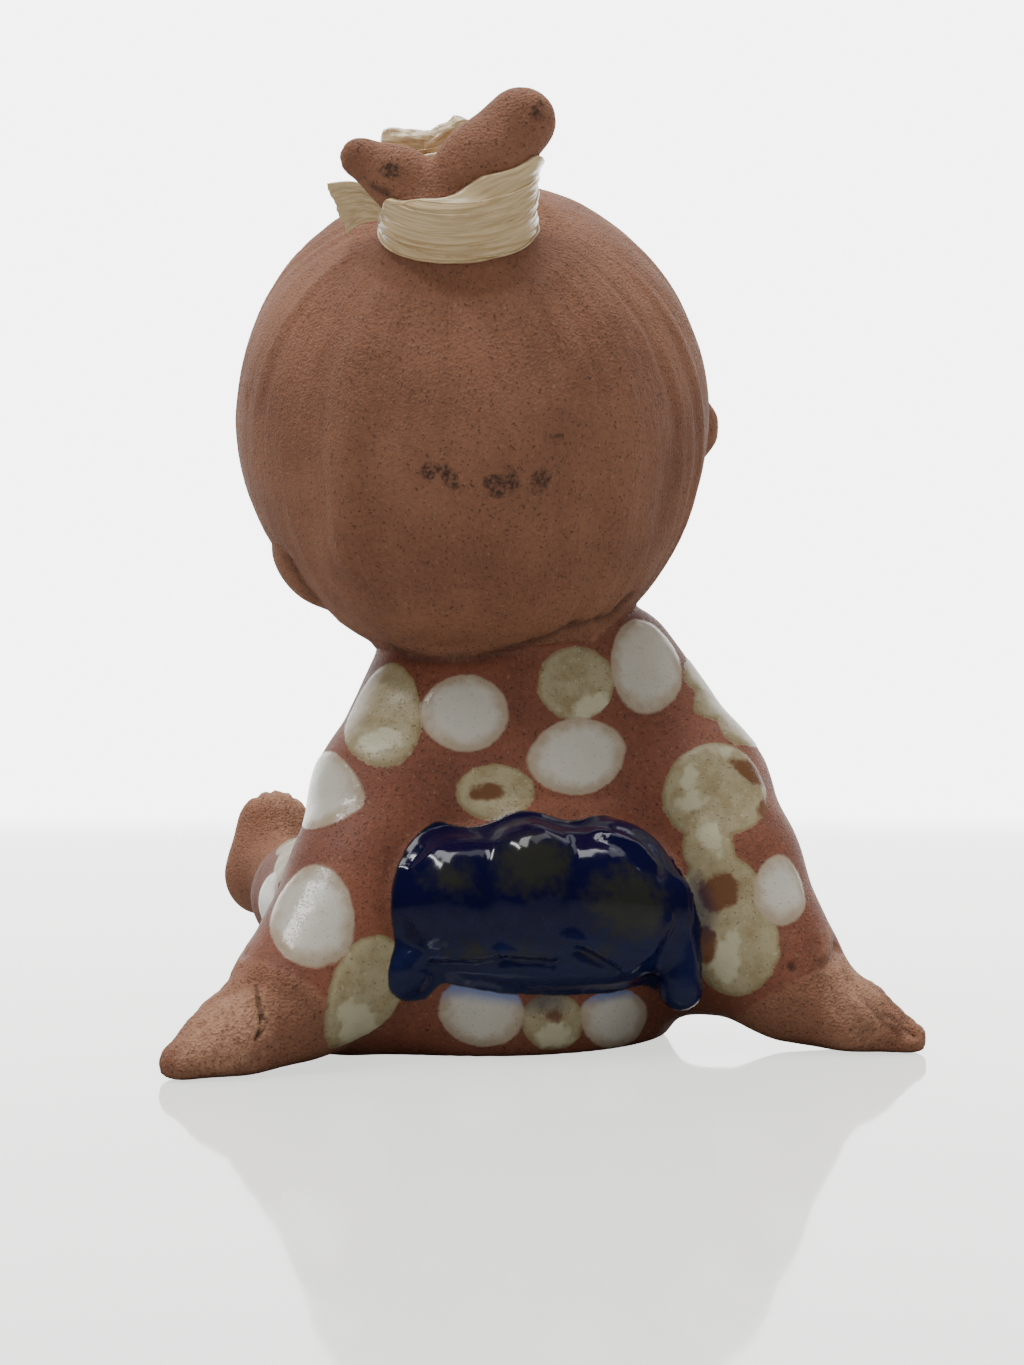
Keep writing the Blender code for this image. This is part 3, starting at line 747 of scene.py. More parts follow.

# Worked lines; the last number of each darkens its groove with painted shade.
SEEN_CUTS = (
    Cut(((404, 275), (368, 360), (349, 450), (350, 550)), 0.75, 2.0, 0.0),
    Cut(((322, 330), (312, 420), (322, 520)), -0.22, 2.2, 0.0),
    Cut(((560, 250), (612, 330), (628, 430), (612, 530)), 0.3, 2.0, 0.0),
    Cut(((652, 330), (672, 430), (660, 510)), -0.25, 1.3, 0.0),
    Cut(((393, 645), (409, 657), (441, 660), (484, 657), (524, 643), (559, 627),
         (606, 614), (627, 593)), -0.30, 0.55, 0.9),
    Cut(((255, 985), (257, 995), (259, 1005), (261, 1017), (259, 1029), (254, 1040)),
        -0.24, 0.13, 1.0),
    Cut(((261, 1017), (266, 1022), (263, 1030), (257, 1036)), -0.2, 0.11, 0.9),
    Cut(((246, 992), (250, 1012), (248, 1034), (236, 1060)), 0.22, 1.3, 0.0),
    Cut(((238, 990), (246, 986), (256, 984)), -0.45, 0.8, 0.1),
    Cut(((283, 990), (302, 1004), (315, 1019), (321, 1034)), -0.26, 0.8, 0.25),
    Cut(((837, 948), (834, 958), (826, 966)), -0.5, 0.6, 0.15),
    Cut(((812, 948), (822, 978), (838, 1002), (862, 1030)), -0.22, 0.8, 0.3),
    Cut(((826, 962), (842, 990), (866, 1016)), 0.28, 0.9, 0.0),
    Cut(((846, 978), (862, 996), (884, 1014)), -0.22, 0.5, 0.3),
    Cut(((868, 1006), (886, 1024), (902, 1038)), -0.24, 0.3, 0.6),
    Cut(((889, 1016), (905, 1027), (921, 1036)), -0.2, 0.26, 0.6),
    Cut(((800, 985), (822, 1018), (850, 1042)), 0.16, 1.6, 0.0),
    Cut(((791, 967), (793, 970)), -0.3, 0.24, 1.0),
    Cut(((290, 557), (302, 582), (318, 600)), -0.28, 0.5, 0.7),
    Cut(((711, 420), (712, 428), (711, 437)), 0.6, 1.3, 0.0),
    Cut(((373, 186), (380, 190), (387, 193)), -0.9, 0.34, 1.0),
    Cut(((412, 862), (436, 842), (480, 826), (526, 819), (571, 824), (606, 833), (640, 842),
         (662, 866)), -0.5, 2.2, 0.0),
    Cut(((447, 846), (445, 880), (446, 925)), 0.42, 2.6, 0.0),
    Cut(((531, 838), (530, 880), (530, 925)), 0.42, 2.6, 0.0),
    Cut(((612, 846), (618, 880), (622, 920)), 0.42, 2.8, 0.0),
    Cut(((489, 836), (491, 866), (492, 900), (496, 930)), -0.34, 1.0, 0.0),
    Cut(((575, 842), (571, 868), (569, 898), (572, 925)), -0.36, 0.9, 0.0),
    Cut(((412, 959), (447, 953), (480, 955), (503, 950)), 0.32, 0.55, 0.0),
    Cut(((505, 950), (540, 952), (551, 956), (554, 946), (559, 936)), 0.42, 0.5, 0.0),
    Cut(((505, 959), (535, 961), (553, 963)), -0.4, 0.45, 0.0),
    Cut(((571, 939), (587, 943), (612, 956), (625, 967), (648, 950), (666, 920)),
        0.38, 0.55, 0.0),
    Cut(((578, 950), (598, 960), (612, 967)), -0.36, 0.42, 0.0),
    Cut(((418, 966), (447, 962), (480, 964), (503, 961)), -0.28, 0.5, 0.0),
    Cut(((403, 868), (412, 872), (424, 862), (436, 852)), 0.25, 0.5, 0.0),
    Cut(((596, 832), (620, 838), (640, 846), (656, 864)), 0.3, 0.5, 0.0),
    Cut(((600, 842), (622, 850), (642, 870)), -0.25, 0.5, 0.0),
)

FACE_CUTS = tuple(
    Cut(tuple((sign * (6.7 + x), 0.4 - 1.15 * (1 - (x / 3.0) ** 2))
              for x in np.linspace(-3.0, 3.0, 13)), -0.3, 0.34, 1.0) for sign in (1, -1)
) + tuple(
    Cut(tuple((sign * (6.6 + x), 4.9 + 0.8 * (1 - (x / 3.0) ** 2))
              for x in np.linspace(-2.8, 2.8, 11)), -0.1, 0.26, 0.45) for sign in (1, -1)
) + (
    Cut(tuple((x, -9.3 - 0.5 * (1 - (x / 2.0) ** 2)) for x in np.linspace(-2, 2, 9)),
        -0.3, 0.34, 0.8),
)

# Folds on the robe's front; the last number darkens each with painted shade.
ROBE_CUTS = (
    Cut(((5.6, 38.0), (1.6, 32.0), (-4.4, 21.6)), -0.32, 0.36, 0.7),
    Cut(((8.2, 37.0), (4.0, 30.4), (-1.2, 21.6)), -0.24, 0.32, 0.6),
    Cut(((-5.8, 38.0), (-1.6, 34.0), (0.9, 31.0)), -0.32, 0.36, 0.7),
    Cut(((-8.2, 37.0), (-4.4, 32.6), (-1.3, 27.4)), -0.24, 0.32, 0.6),
)


def colour(red: float, green: float, blue: float) -> tuple[float, float, float, float]:
    """A colour for a shader from red, green and blue between 0 and 255.

    Args:
        red: Share of red.
        green: Share of green.
        blue: Share of blue.

    Returns:
        The colour in linear light, with no transparency.
    """
    share = np.array([red, green, blue]) / 255
    linear = np.where(share <= 0.04045, share / 12.92, ((share + 0.055) / 1.055) ** 2.4)
    return (*[float(v) for v in linear], 1.0)


class Graph:
    """Short ways to wire one material's nodes."""

    def __init__(self, name: str) -> None:
        """Start a material with one shader.

        Args:
            name: The material's name.
        """
        self.material = bpy.data.materials.new(name)
        self.material.use_nodes = True
        self.tree = self.material.node_tree
        self.shader = self.tree.nodes["Principled BSDF"]
        self.place = self.tree.nodes.new("ShaderNodeTexCoord").outputs["Object"]

    def link(self, value: object, socket: bpy.types.NodeSocket) -> None:
        """Wire an output into an input, or set the input's own value.

        Args:
            value: An output or a plain value.
            socket: The input.
        """
        if isinstance(value, bpy.types.NodeSocket):
            self.tree.links.new(value, socket)
        else:
            socket.default_value = value

    def attribute(self, name: str, vector: bool = False) -> bpy.types.NodeSocket:
        """A mesh attribute, as a number or as a vector.

        Args:
            name: The attribute's name.
            vector: Whether it is read as a vector.

        Returns:
            The node's output.
        """
        node = self.tree.nodes.new("ShaderNodeAttribute")
        node.attribute_name = name
        return node.outputs["Vector" if vector else "Fac"]

    def noise(self, size: float, detail: float = 2.0, rough: float = 0.5,
              place: bpy.types.NodeSocket | None = None) -> bpy.types.NodeSocket:
        """Noise with features of a size in the units of its coordinates.

        Args:
            size: Size of the features.
            detail: How many finer layers it has.
            rough: How strong the finer layers are.
            place: Its coordinates, the object's own if none are given.

        Returns:
            The noise, about 0 to 1.
        """
        node = self.tree.nodes.new("ShaderNodeTexNoise")
        node.inputs["Scale"].default_value = 1 / size
        node.inputs["Detail"].default_value = detail
        node.inputs["Roughness"].default_value = rough
        self.link(place or self.place, node.inputs["Vector"])
        return node.outputs["Fac"]

    def math(self, kind: str, a: object, b: object = 0.0,
             clamp: bool = False) -> bpy.types.NodeSocket:
        """One sum.

        Args:
            kind: Blender's name for the sum.
            a: First value.
            b: Second value.
            clamp: Whether the result is kept between 0 and 1.

        Returns:
            The result.
        """
        node = self.tree.nodes.new("ShaderNodeMath")
        node.operation = kind
        node.use_clamp = clamp
        self.link(a, node.inputs[0])
        self.link(b, node.inputs[1])
        return node.outputs[0]

    def step(self, value: object, low: float, high: float, first: float = 0.0,
             last: float = 1.0) -> bpy.types.NodeSocket:
        """A soft step from one number to another while a value goes from low to high.

        Args:
            value: The value.
            low: Where the step starts.
            high: Where it ends.
            first: The result at low.
            last: The result at high.

        Returns:
            The result.
        """
        node = self.tree.nodes.new("ShaderNodeMapRange")
        node.interpolation_type = "SMOOTHSTEP"
        for name, number in (("From Min", low), ("From Max", high), ("To Min", first),
                             ("To Max", last)):
            node.inputs[name].default_value = number
        self.link(value, node.inputs["Value"])
        return node.outputs["Result"]

    def mix(self, a: object, b: object, share: object,
            kind: str = "MIX") -> bpy.types.NodeSocket:
        """Two colours mixed by a share.

        Args:
            a: First colour.
            b: Second colour.
            share: How much of the second.
            kind: Blender's name for the mix.

        Returns:
            The mixed colour.
        """
        node = self.tree.nodes.new("ShaderNodeMix")
        node.data_type = "RGBA"
        node.blend_type = kind
        self.link(share, node.inputs[0])
        self.link(a, node.inputs[6])
        self.link(b, node.inputs[7])
        return node.outputs[2]

    def blend(self, a: object, b: object, share: object) -> bpy.types.NodeSocket:
        """Two numbers mixed by a share.

        Args:
            a: First number.
            b: Second number.
            share: How much of the second.

        Returns:
            The mixed number.
        """
        node = self.tree.nodes.new("ShaderNodeMix")
        node.data_type = "FLOAT"
        self.link(share, node.inputs[0])
        self.link(a, node.inputs[2])
        self.link(b, node.inputs[3])
        return node.outputs[0]

    def bump(self, height: object, depth: float, strength: float = 1.0) -> None:
        """Give the shader fine relief that is so many metres deep.

        Args:
            height: The relief.
            depth: Its depth in metres.
            strength: How much of it shows.
        """
        node = self.tree.nodes.new("ShaderNodeBump")
        node.inputs["Strength"].default_value = strength
        node.inputs["Distance"].default_value = depth
        self.link(height, node.inputs["Height"])
        self.link(node.outputs["Normal"], self.shader.inputs["Normal"])


@dataclass(frozen=True)
class ClayFinish:
    """Fired red clay with a slip-coloured robe, glaze spots and a cobalt bow."""

    clay: tuple = colour(156, 105, 77)
    clay_deep: tuple = colour(131, 84, 60)
    # Paler clay for the hands: partly dust, partly painted light standing in for light from
    # above and the floor's bounce.
    dust_and_painted_light: tuple = colour(186, 140, 110)
    robe: tuple = colour(143, 82, 56)
    robe_deep: tuple = colour(112, 63, 44)
    white: tuple = colour(198, 193, 180)
    white_thin: tuple = colour(172, 154, 132)
    cream: tuple = colour(166, 153, 120)
    cream_rim: tuple = colour(138, 118, 78)
    pale: tuple = colour(188, 182, 150)
    brown: tuple = colour(116, 76, 46)
    cobalt: tuple = colour(7, 7, 50)
    # Paler cobalt, for the haze and for the bow's lower part.
    cobalt_pale: tuple = colour(22, 30, 70)
    olive: tuple = colour(46, 46, 36)
    halo: tuple = colour(106, 126, 180)
    # Dark brown for specks, smudges and the face's painted lines, and for painted shade in
    # grooves.
    ink_and_shade: tuple = colour(44, 27, 19)
    cream_rough: float = 0.34
    cobalt_rough: float = 0.12
    grain_deep: float = 0.22   # millimetres
    grain_strength: float = 0.85

    def make(self) -> bpy.types.Material:
        """The material, from the mesh's own attributes and noise in its own space.

        Returns:
            The material.
        """
        g = Graph("clay_and_glaze")
        wobble = g.math("SUBTRACT", g.noise(0.0011, 3.0), 0.5)
        fine = g.noise(0.00045, 3.0, 0.65)
        broad = g.noise(0.0075, 3.0)
        grit = g.noise(0.00021, 0.0)
        specks = g.step(grit, 0.70, 0.78)
        pale_specks = g.step(g.noise(0.00027, 0.0, 0.5), 0.27, 0.21)
        mottle = g.step(g.math("ADD", g.math("MULTIPLY", broad, 0.6),
                               g.math("MULTIPLY", fine, 0.4)), 0.3, 0.7)

        def share(name: str, edge: float, waver: float) -> bpy.types.NodeSocket:
            """How much of a coat there is, from the distance to its wavering edge.

            Args:
                name: The attribute that holds the distance.
                edge: How soft the edge is.
                waver: How far it wavers.

            Returns:
                A share from 0 to 1.
            """
            far = g.math("ADD", g.attribute(name), g.math("MULTIPLY", wobble, waver))
            return g.step(far, edge, -edge)

        robe = share("robe", 0.25, 0.5)
        tone = g.mix(g.mix(self.clay_deep, self.clay, mottle),
                     g.mix(self.robe_deep, self.robe, mottle), robe)
        # Paler patches on the hands: partly dust, partly painted light.
        dust_and_painted_light = g.math("MULTIPLY", share("dust_and_painted_light", 1.6, 2.6), g.step(fine, 0.3, 0.65, 0.25, 0.8))
        tone = g.mix(tone, self.dust_and_painted_light, dust_and_painted_light)
        tone = g.mix(tone, self.ink_and_shade, g.math("MULTIPLY", specks, 0.5))
        tone = g.mix(tone, self.cream, g.math("MULTIPLY", pale_specks, 0.22))
        # Painted shade in the grooves and creases; on the face the same darkening draws its
        # painted lines.
        groove = g.attribute("groove")
        tone = g.mix(tone, self.ink_and_shade, g.math("MULTIPLY", groove, 0.6, clamp=True))
        smudge = g.math("MULTIPLY", share("smudge", 0.3, 1.7),
                        g.step(fine, 0.38, 0.58, 0.15, 1.0))
        tone = g.mix(tone, self.ink_and_shade, g.math("MULTIPLY", smudge, 0.78))

        cream = share("cream", 0.1, 0.55)
        rim = g.step(g.math("ADD", g.attribute("cream"), g.math("MULTIPLY", wobble, 0.6)),
                     -0.45, -0.05)
        cream_tone = g.mix(g.mix(self.cream_rim, self.cream,
                                 g.step(g.noise(0.0016, 4.0, 0.6), 0.3, 0.62, 0.35, 1.0)),
                           self.cream_rim, g.math("MULTIPLY", rim, 0.75))
        cream_tone = g.mix(cream_tone, self.pale, g.math("MULTIPLY", pale_specks, 0.5))
        cream_tone = g.mix(cream_tone, self.ink_and_shade, g.math("MULTIPLY", specks, 0.35))
        cream_tone = g.mix(cream_tone, self.pale, share("pale", 0.35, 2.2))
        cream_tone = g.mix(cream_tone, self.brown, share("brown", 0.3, 1.6))
        haze = g.math("MULTIPLY", share("haze", 1.1, 1.4), 0.6)
        cream_tone = g.mix(cream_tone, self.cobalt_pale, haze)
        tone = g.mix(tone, cream_tone, cream)

        white = share("white", 0.16, 0.35)
        body = g.step(g.math("ADD", g.attribute("white"), g.math("MULTIPLY", wobble, 1.6)),
                      -0.15, -1.5)
        body = g.math("MULTIPLY", body, g.step(broad, 0.25, 0.6, 0.72, 1.0))
        white_tone = g.mix(self.white_thin, self.white, body)
        white_tone = g.mix(white_tone, self.ink_and_shade, g.math("MULTIPLY", specks, 0.16))
        near_blue = g.step(g.attribute("blue"), 1.5, 0.1, 0.0, 0.85)
        white_tone = g.mix(white_tone, self.halo, near_blue)
        tone = g.mix(tone, white_tone, white)

        blue = share("blue", 0.14, 0.3)
        # The cobalt turns paler towards the bow's bottom, set by height alone.
        thin = g.attribute("thin")
        cloud = g.step(g.math("ADD", g.math("MULTIPLY", wobble, 0.8), thin), 0.2, 0.9)
        deep = g.mix(self.cobalt, self.cobalt_pale, cloud)
        olive = g.math("MULTIPLY", share("olive", 1.3, 4.0), 0.85)
        deep = g.mix(deep, self.olive, olive)
        edge = g.step(g.attribute("blue"), -0.45, 0.0)
        deep = g.mix(deep, self.olive, g.math("MULTIPLY", edge, 0.5))
        tone = g.mix(tone, deep, blue)
        g.link(tone, g.shader.inputs["Base Color"])

        rough = g.blend(g.step(fine, 0.2, 0.8, 0.66, 0.84),
                        g.step(fine, 0.2, 0.8, 0.52, 0.68), robe)
        rough = g.blend(rough, self.cream_rough, cream)
        rough = g.blend(rough, g.step(broad, 0.2, 0.8, 0.12, 0.22), white)
        rough = g.blend(rough, self.cobalt_rough, blue)
        g.link(rough, g.shader.inputs["Roughness"])

        comb = g.attribute("comb", vector=True)
        hair = g.math("MULTIPLY", g.noise(0.5, 3.0, 0.6, comb), g.attribute("hair"))
        grit_share = g.blend(0.75, 0.25, robe)
        grain = g.math("MULTIPLY", g.math("ADD", fine, grit), grit_share)
        grain = g.math("ADD", grain, g.math("MULTIPLY", hair, 0.95))
        grain = g.math("SUBTRACT", grain, g.math("MULTIPLY", specks, 0.5))
        glaze = g.math("MAXIMUM", g.math("MAXIMUM", g.math("MULTIPLY", white, 0.8),
                                         g.math("MULTIPLY", cream, 0.65)), blue)
        keep = g.math("SUBTRACT", 1.0, glaze)
        calm = g.math("MULTIPLY", g.noise(0.0024, 1.0), 0.5)
        grain = g.math("ADD", g.math("MULTIPLY", grain, keep), calm)
        g.bump(grain, self.grain_deep * MM, self.grain_strength)
        return g.material


@dataclass
class ClayGirl:
    """The whole clay figure with its relief, glaze and marks."""

    view: PhotoView
    finish: ClayFinish = ClayFinish()
    skin_low: tuple = (-37.0, -41.0, -2.0)
    skin_high: tuple = (37.0, 27.0, 82.0)
    cell: float = 1.2          # of the first skin
    voxel: float = 0.46        # of the fine skin
    comb_foot: tuple = (0.0, 2.0, 34.0)
    comb_tip: tuple = (6.6, 14.8, 69.8)
    comb_step: float = 1.25    # between the comb's teeth
    comb_slow: float = 0.075   # how slowly a streak changes along its length
    face_middle: float = -3.5
    face_half: tuple = (14.6, 13.2)
    sash_seen: float = 3.6     # how much of the sash shows above the lap
    fine_width: float = 0.46   # worked lines narrower than this get a finer skin
    hair_width: float = 0.2    # and those narrower than this a finer one still
    fine_reach: float = 0.85
    ear_place: tuple = (19.0, -7.5, 0.0)   # where the comb leaves the ears out
    ear_clear: int = 6         # whole, so the comb fades in whole millimetres there
    lid_place: tuple = (6.7, 1.0)
    lid_size: tuple = (3.6, 2.4)
    lid_height: float = 0.38
    lip_place: float = -10.5
    lip_size: tuple = (1.7, 0.9)
    lip_height: float = 0.22
    toe_gaps: tuple = (-2.0, -0.8, 0.45, 1.8)
    toe_groove: tuple = (0.3, 0.34)        # depth and half width
    finger_gaps: tuple = (-1.1, 0.0, 1.1)
    finger_groove: tuple = (0.16, 0.35)
    chip_depth: float = 0.5
    bow_hem: float = 0.2
    glaze_thick: float = 0.13
    cobalt_thick: float = 0.12

    def skin(self) -> bpy.types.Object:
        """A fine even skin over the figure's form.

        Returns:
            The skin, without relief.
        """
        low, high = np.array(self.skin_low), np.array(self.skin_high)
        corners, triangles = surface(girl, low, high, self.cell)
        shape = mesh_object("clay_girl_skin", corners, triangles.tolist())
        remesh = shape.modifiers.new("Fine skin", "REMESH")
        remesh.mode = "VOXEL"
        remesh.voxel_size = self.voxel * MM
        bake(shape)
        return shape

    def comb_axes(self, p: Array) -> Array:
        """Comb coordinates: two round the head, and a slow one from nape to topknot.

        Args:
            p: Points, one per row.

        Returns:
            Three coordinates for each point.
        """
        foot = np.array(self.comb_foot)
        axis = unit(np.array(self.comb_tip) - foot)
        one = unit(np.cross(axis, (0, 1, 0)))
        two = np.cross(axis, one)
        q = p - foot
        angle = np.arctan2(q @ two, q @ one)
        reach = HEAD_RADII[0] / self.comb_step
        return np.stack([np.cos(angle) * reach, np.sin(angle) * reach,
                         (q @ axis) * self.comb_slow], -1)

    def hair_share(self, p: Array, m: dict[str, Array]) -> Array:
        """1 on the combed head, 0 on the face, on the lobes and below the neck.

        Args:
            p: Points, one per row.
            m: Distances to the figure's members at these points.

        Returns:
            One share for each point.
        """
        on_head = smooth(np.minimum(m["body"], m["arms"]) - m["top"], -0.4, 0.6)
        above = (p - KNOT_CENTRE) @ knot_axes()[0]
        return on_head * smooth(self.face_edge(p), -0.3, 0.3) * smooth(above, 1.0, -1.0)

    def under_tape(self, p: Array) -> Array:
        """1 where the tape lies on the clay, 0 away from it.

        Args:
            p: Points, one per row.

        Returns:
            One share for each point.
        """
        axis, side, flat = knot_axes()
        off = p - KNOT_CENTRE
        out = np.hypot(off @ side / (KNOT_WIDTH + 2.4), off @ flat / (KNOT_DEPTH + 2.4))
        return smooth(out, 1.15, 0.95) * smooth(np.abs(off @ axis), 5.0, 4.0)

    def face_edge(self, p: Array) -> Array:
        """Distance to the edge of the face, negative on the face.

        Args:
            p: Points, one per row.

        Returns:
            One distance for each point.
        """
        right, up, out = face_axes(p)
        wide, high = self.face_half
        ratio = np.sqrt((right / wide) ** 2 + ((up - self.face_middle) / high) ** 2)
        found = (ratio - 1) * (wide + high) / 2 + 0.35 * lattice_noise(p, 1.6, 5)
        return np.where(out > 2.0, found, FAR)

    def worked(self, p: Array) -> list[tuple[Cut, Array]]:
        """Every worked line, with the distance to it from each point.

        Args:
            p: Points, one per row.

        Returns:
            Pairs of a line and its distances.
        """
        right, up, out = face_axes(p)
        flat = np.stack([right, up, 0 * up], -1)
        front = np.stack([p[:, 0], p[:, 2], 0 * up], -1)
        found = []
        for cuts, where, wanted in (
                (FACE_CUTS, flat, out > 8),
                (ROBE_CUTS, front, (p[:, 1] < 0) & (p[:, 2] < 36.5 + 0.12 * p[:, 0]))):
            for cut in cuts:
                far = line_distance(where, np.array([(*dot, 0) for dot in cut.dots]))
                found.append((cut, np.where(wanted, far, 9.0)))
        ways = []
        for cut in SEEN_CUTS:
            dots = np.array(cut.dots, float)
            halved = np.concatenate([dots[:-1], dots[:-1] * 0.5 + dots[1:] * 0.5], 1)
            ways.append(np.concatenate([halved.reshape(-1, 2), dots[-1:]]))
        hits = self.view.hit(np.concatenate(ways), girl)
        lines = np.split(hits, np.cumsum([len(way) for way in ways])[:-1])
        waver = 0.12 * lattice_noise(p, 0.8, 41)
        return found + [(cut, np.abs(line_distance(p, line) + waver * (cut.width < 0.5)))
                        for cut, line in zip(SEEN_CUTS, lines)]

    def refine(self, shape: bpy.types.Object, p: Array) -> None:
        """Cut the skin finer along the fine worked lines.

        Args:
            shape: The skin.
            p: Its points, one per row.
        """
        near, closer = np.zeros((2, len(p)), bool)
        for cut, far in self.worked(p):
            near |= (far < self.fine_reach) & (cut.width < self.fine_width)
            closer |= (far < self.fine_reach) & (cut.width < self.hair_width)
        mesh = bmesh.new()
        mesh.from_mesh(shape.data)
        for wanted, cuts in ((near & ~closer, 1), (closer, 3)):
            mesh.verts.ensure_lookup_table()
            edges = [e for e in mesh.edges
                     if max(v.index for v in e.verts) < len(p)
                     and all(wanted[v.index] for v in e.verts)]
            bmesh.ops.subdivide_edges(mesh, edges=edges, cuts=cuts, use_grid_fill=True)
            mesh.verts.index_update()
        bmesh.ops.triangulate(mesh, faces=[f for f in mesh.faces if len(f.verts) > 4])
        mesh.to_mesh(shape.data)
        mesh.free()
        shape.data.shade_smooth()

    def relief(self, p: Array, m: dict[str, Array]) -> tuple[Array, Array]:
        """Height of the worked relief, and how much painted shade each point gets in grooves
        and creases (on the face, its painted lines).

        Args:
            p: Points on the form, one per row.
            m: Distances to the figure's members at these points.

        Returns:
            Heights in millimetres along the surface's normal, and shares of painted shade.
        """
        in_bow = smooth(m["bow"], 0.5, -0.1)
        hair = self.hair_share(p, m)
        height = 0.11 * lattice_noise(p, 7.0, 1) + 0.05 * lattice_noise(p, 2.6, 2)
        height = height * (1 - 0.8 * in_bow)
        comb = self.comb_axes(p)
        streak = lattice_noise(comb, 1.0, 3)
        broad = lattice_noise(comb, 2.8, 4)
        aside = np.abs((p - HEAD_CENTRE) @ self.view.axes()[1])
        soft = (0.5 + 0.5 * lattice_noise(p, 12.0, 6)) * (0.5 + 0.5 * smooth(aside, 2, 9))
        ears = 1.0
        for sign in (1, -1):
            ear = on_face(sign * self.ear_place[0], *self.ear_place[1:])
            far = line_distance(p, ear[None].repeat(2, 0), self.ear_clear)
            ears = ears * smooth(far, 3, 5)
        height += hair * ears * (0.3 * streak + 0.28 * broad) * soft
        height += 0.3 * hair * ears * smooth(self.face_edge(p), -0.35, 0.35)
        groove = np.zeros(len(p))
        # Painted shade in the comb's furrows.
        groove += hair * ears * np.clip(-streak - 0.35, 0, 1) * 0.25 * soft
        right, up, out = face_axes(p)
        for sign in (1, -1):
            lid = (((right - sign * self.lid_place[0]) / self.lid_size[0]) ** 2
                   + ((up - self.lid_place[1]) / self.lid_size[1]) ** 2)
            height += np.where(out > 8, self.lid_height * np.exp(-lid), 0)
        lip = ((right / self.lip_size[0]) ** 2
               + ((up - self.lip_place) / self.lip_size[1]) ** 2)
        height += np.where(out > 8, self.lip_height * np.exp(-lip), 0)
        for cut, far in self.worked(p):
            near = np.exp(-(far / cut.width) ** 2)
            height += cut.height * near
            # Painted shade darkens each groove; on the face this draws its painted lines.
            groove += cut.dark * near * (cut.height < 0)
        height += self.toes(p, m) + self.fingers(p)
        return height, np.clip(groove, 0, 1)

    def toes(self, p: Array, m: dict[str, Array]) -> Array:
        """Height of the short grooves between the toes.

        Args:
            p: Points, one per row.
            m: Distances to the figure's members at these points.

        Returns:
            One height for each point.
        """
        height = np.zeros(len(p))
        depth, half = self.toe_groove
        for sign in (1, -1):
            foot = np.array(mirrored(FOOT, sign)[1][:3])
            splay = np.radians(FOOT_SPLAY) * sign
            side = np.array([np.cos(splay), np.sin(splay), 0])
            across = (p - foot) @ side
            near = smooth(m["feet"], 0.6, 0.1) * smooth(p[:, 2], 16.8, 18.6)
            near = near * (np.abs(p[:, 0] - foot[0]) < 6)
            for place in self.toe_gaps:
                height -= depth * near * np.exp(-((across - sign * place) / half) ** 2)
        return height

    def fingers(self, p: Array) -> Array:
        """Height of the grooves between the fingers, and the chips on her right hand.

        Args:
            p: Points, one per row.

        Returns:
            One height for each point.
        """
        height = np.zeros(len(p))
        depth, half = self.finger_groove
        for sign, ends in ((1, LEFT_HAND), (-1, RIGHT_HAND)):
            tip, root = np.array(ends[2][:3]), np.array(ends[0][:3])
            way = unit((tip - root) * (1, 1, 0))
            across = (p - tip) @ np.cross(way, (0, 0, 1))
            along = (p - root) @ way
            near = smooth(along, 5.0, 8.0) * (p[:, 0] * sign > 20)
            for place in self.finger_gaps:
                height -= depth * near * np.exp(-((across - place) / half) ** 2)
        chip = smooth(-p[:, 0], 27.5, 30.0) * (p[:, 1] > 5)
        chip = np.maximum(chip, 0.6 * smooth(p[:, 0], 20.0, 26.0) * (p[:, 1] > 5))
        return height - chip * self.chip_depth * np.maximum(lattice_noise(p, 0.9, 9), 0)

    def coats(self, p: Array, m: dict[str, Array]) -> dict[str, Array]:
        """Distances to the edge of each coat in millimetres, by attribute name.

        Args:
            p: Points on the form, one per row.
            m: Distances to the figure's members at these points.

        Returns:
            One array of distances for each attribute.
        """
        found = {coat.value: np.full(len(p), FAR) for coat in Coat}
        centres = np.concatenate([
            self.view.hit([mark.place for mark in SEEN_MARKS], girl),
            settle(girl, np.array([mark.place for mark in HIDDEN_MARKS]), 5)])
        normals = unit(slope_of(girl, centres))
        for mark, centre, normal in zip((*SEEN_MARKS, *HIDDEN_MARKS), centres, normals):
            name = mark.coat.value
            far = mark.distance(p, centre, normal, self.view)
            found[name] = blend(found[name], far, 0.4)
        cloth = np.minimum.reduce([m["body"], m["arms"], m["folds"], m["leg_cloth"],
                                   m["sash"]])
        bare = np.minimum.reduce([m["top"], m["hands"], m["feet"]])
        found["robe"] = np.clip(cloth - bare, -FAR, FAR)
        rest = np.minimum(cloth, bare)
        top = SASH_HEIGHT + SASH_WIDTH / 2 - 0.3
        sash = np.maximum.reduce([p[:, 2] - top, top - self.sash_seen - p[:, 2],
                                  p[:, 1] - 1.0])
        sash = np.maximum(sash, np.minimum(m["body"], m["sash"])
                          - np.minimum(m["arms"], m["leg_cloth"]) + 0.3)
        found["blue"] = np.clip(np.minimum(m["bow"] - rest - self.bow_hem, sash), -FAR, FAR)
        # Paler cobalt towards the bow's bottom, set by height alone.
        found["thin"] = smooth(p[:, 2], 15.0, 8.5) * 0.7
        return found

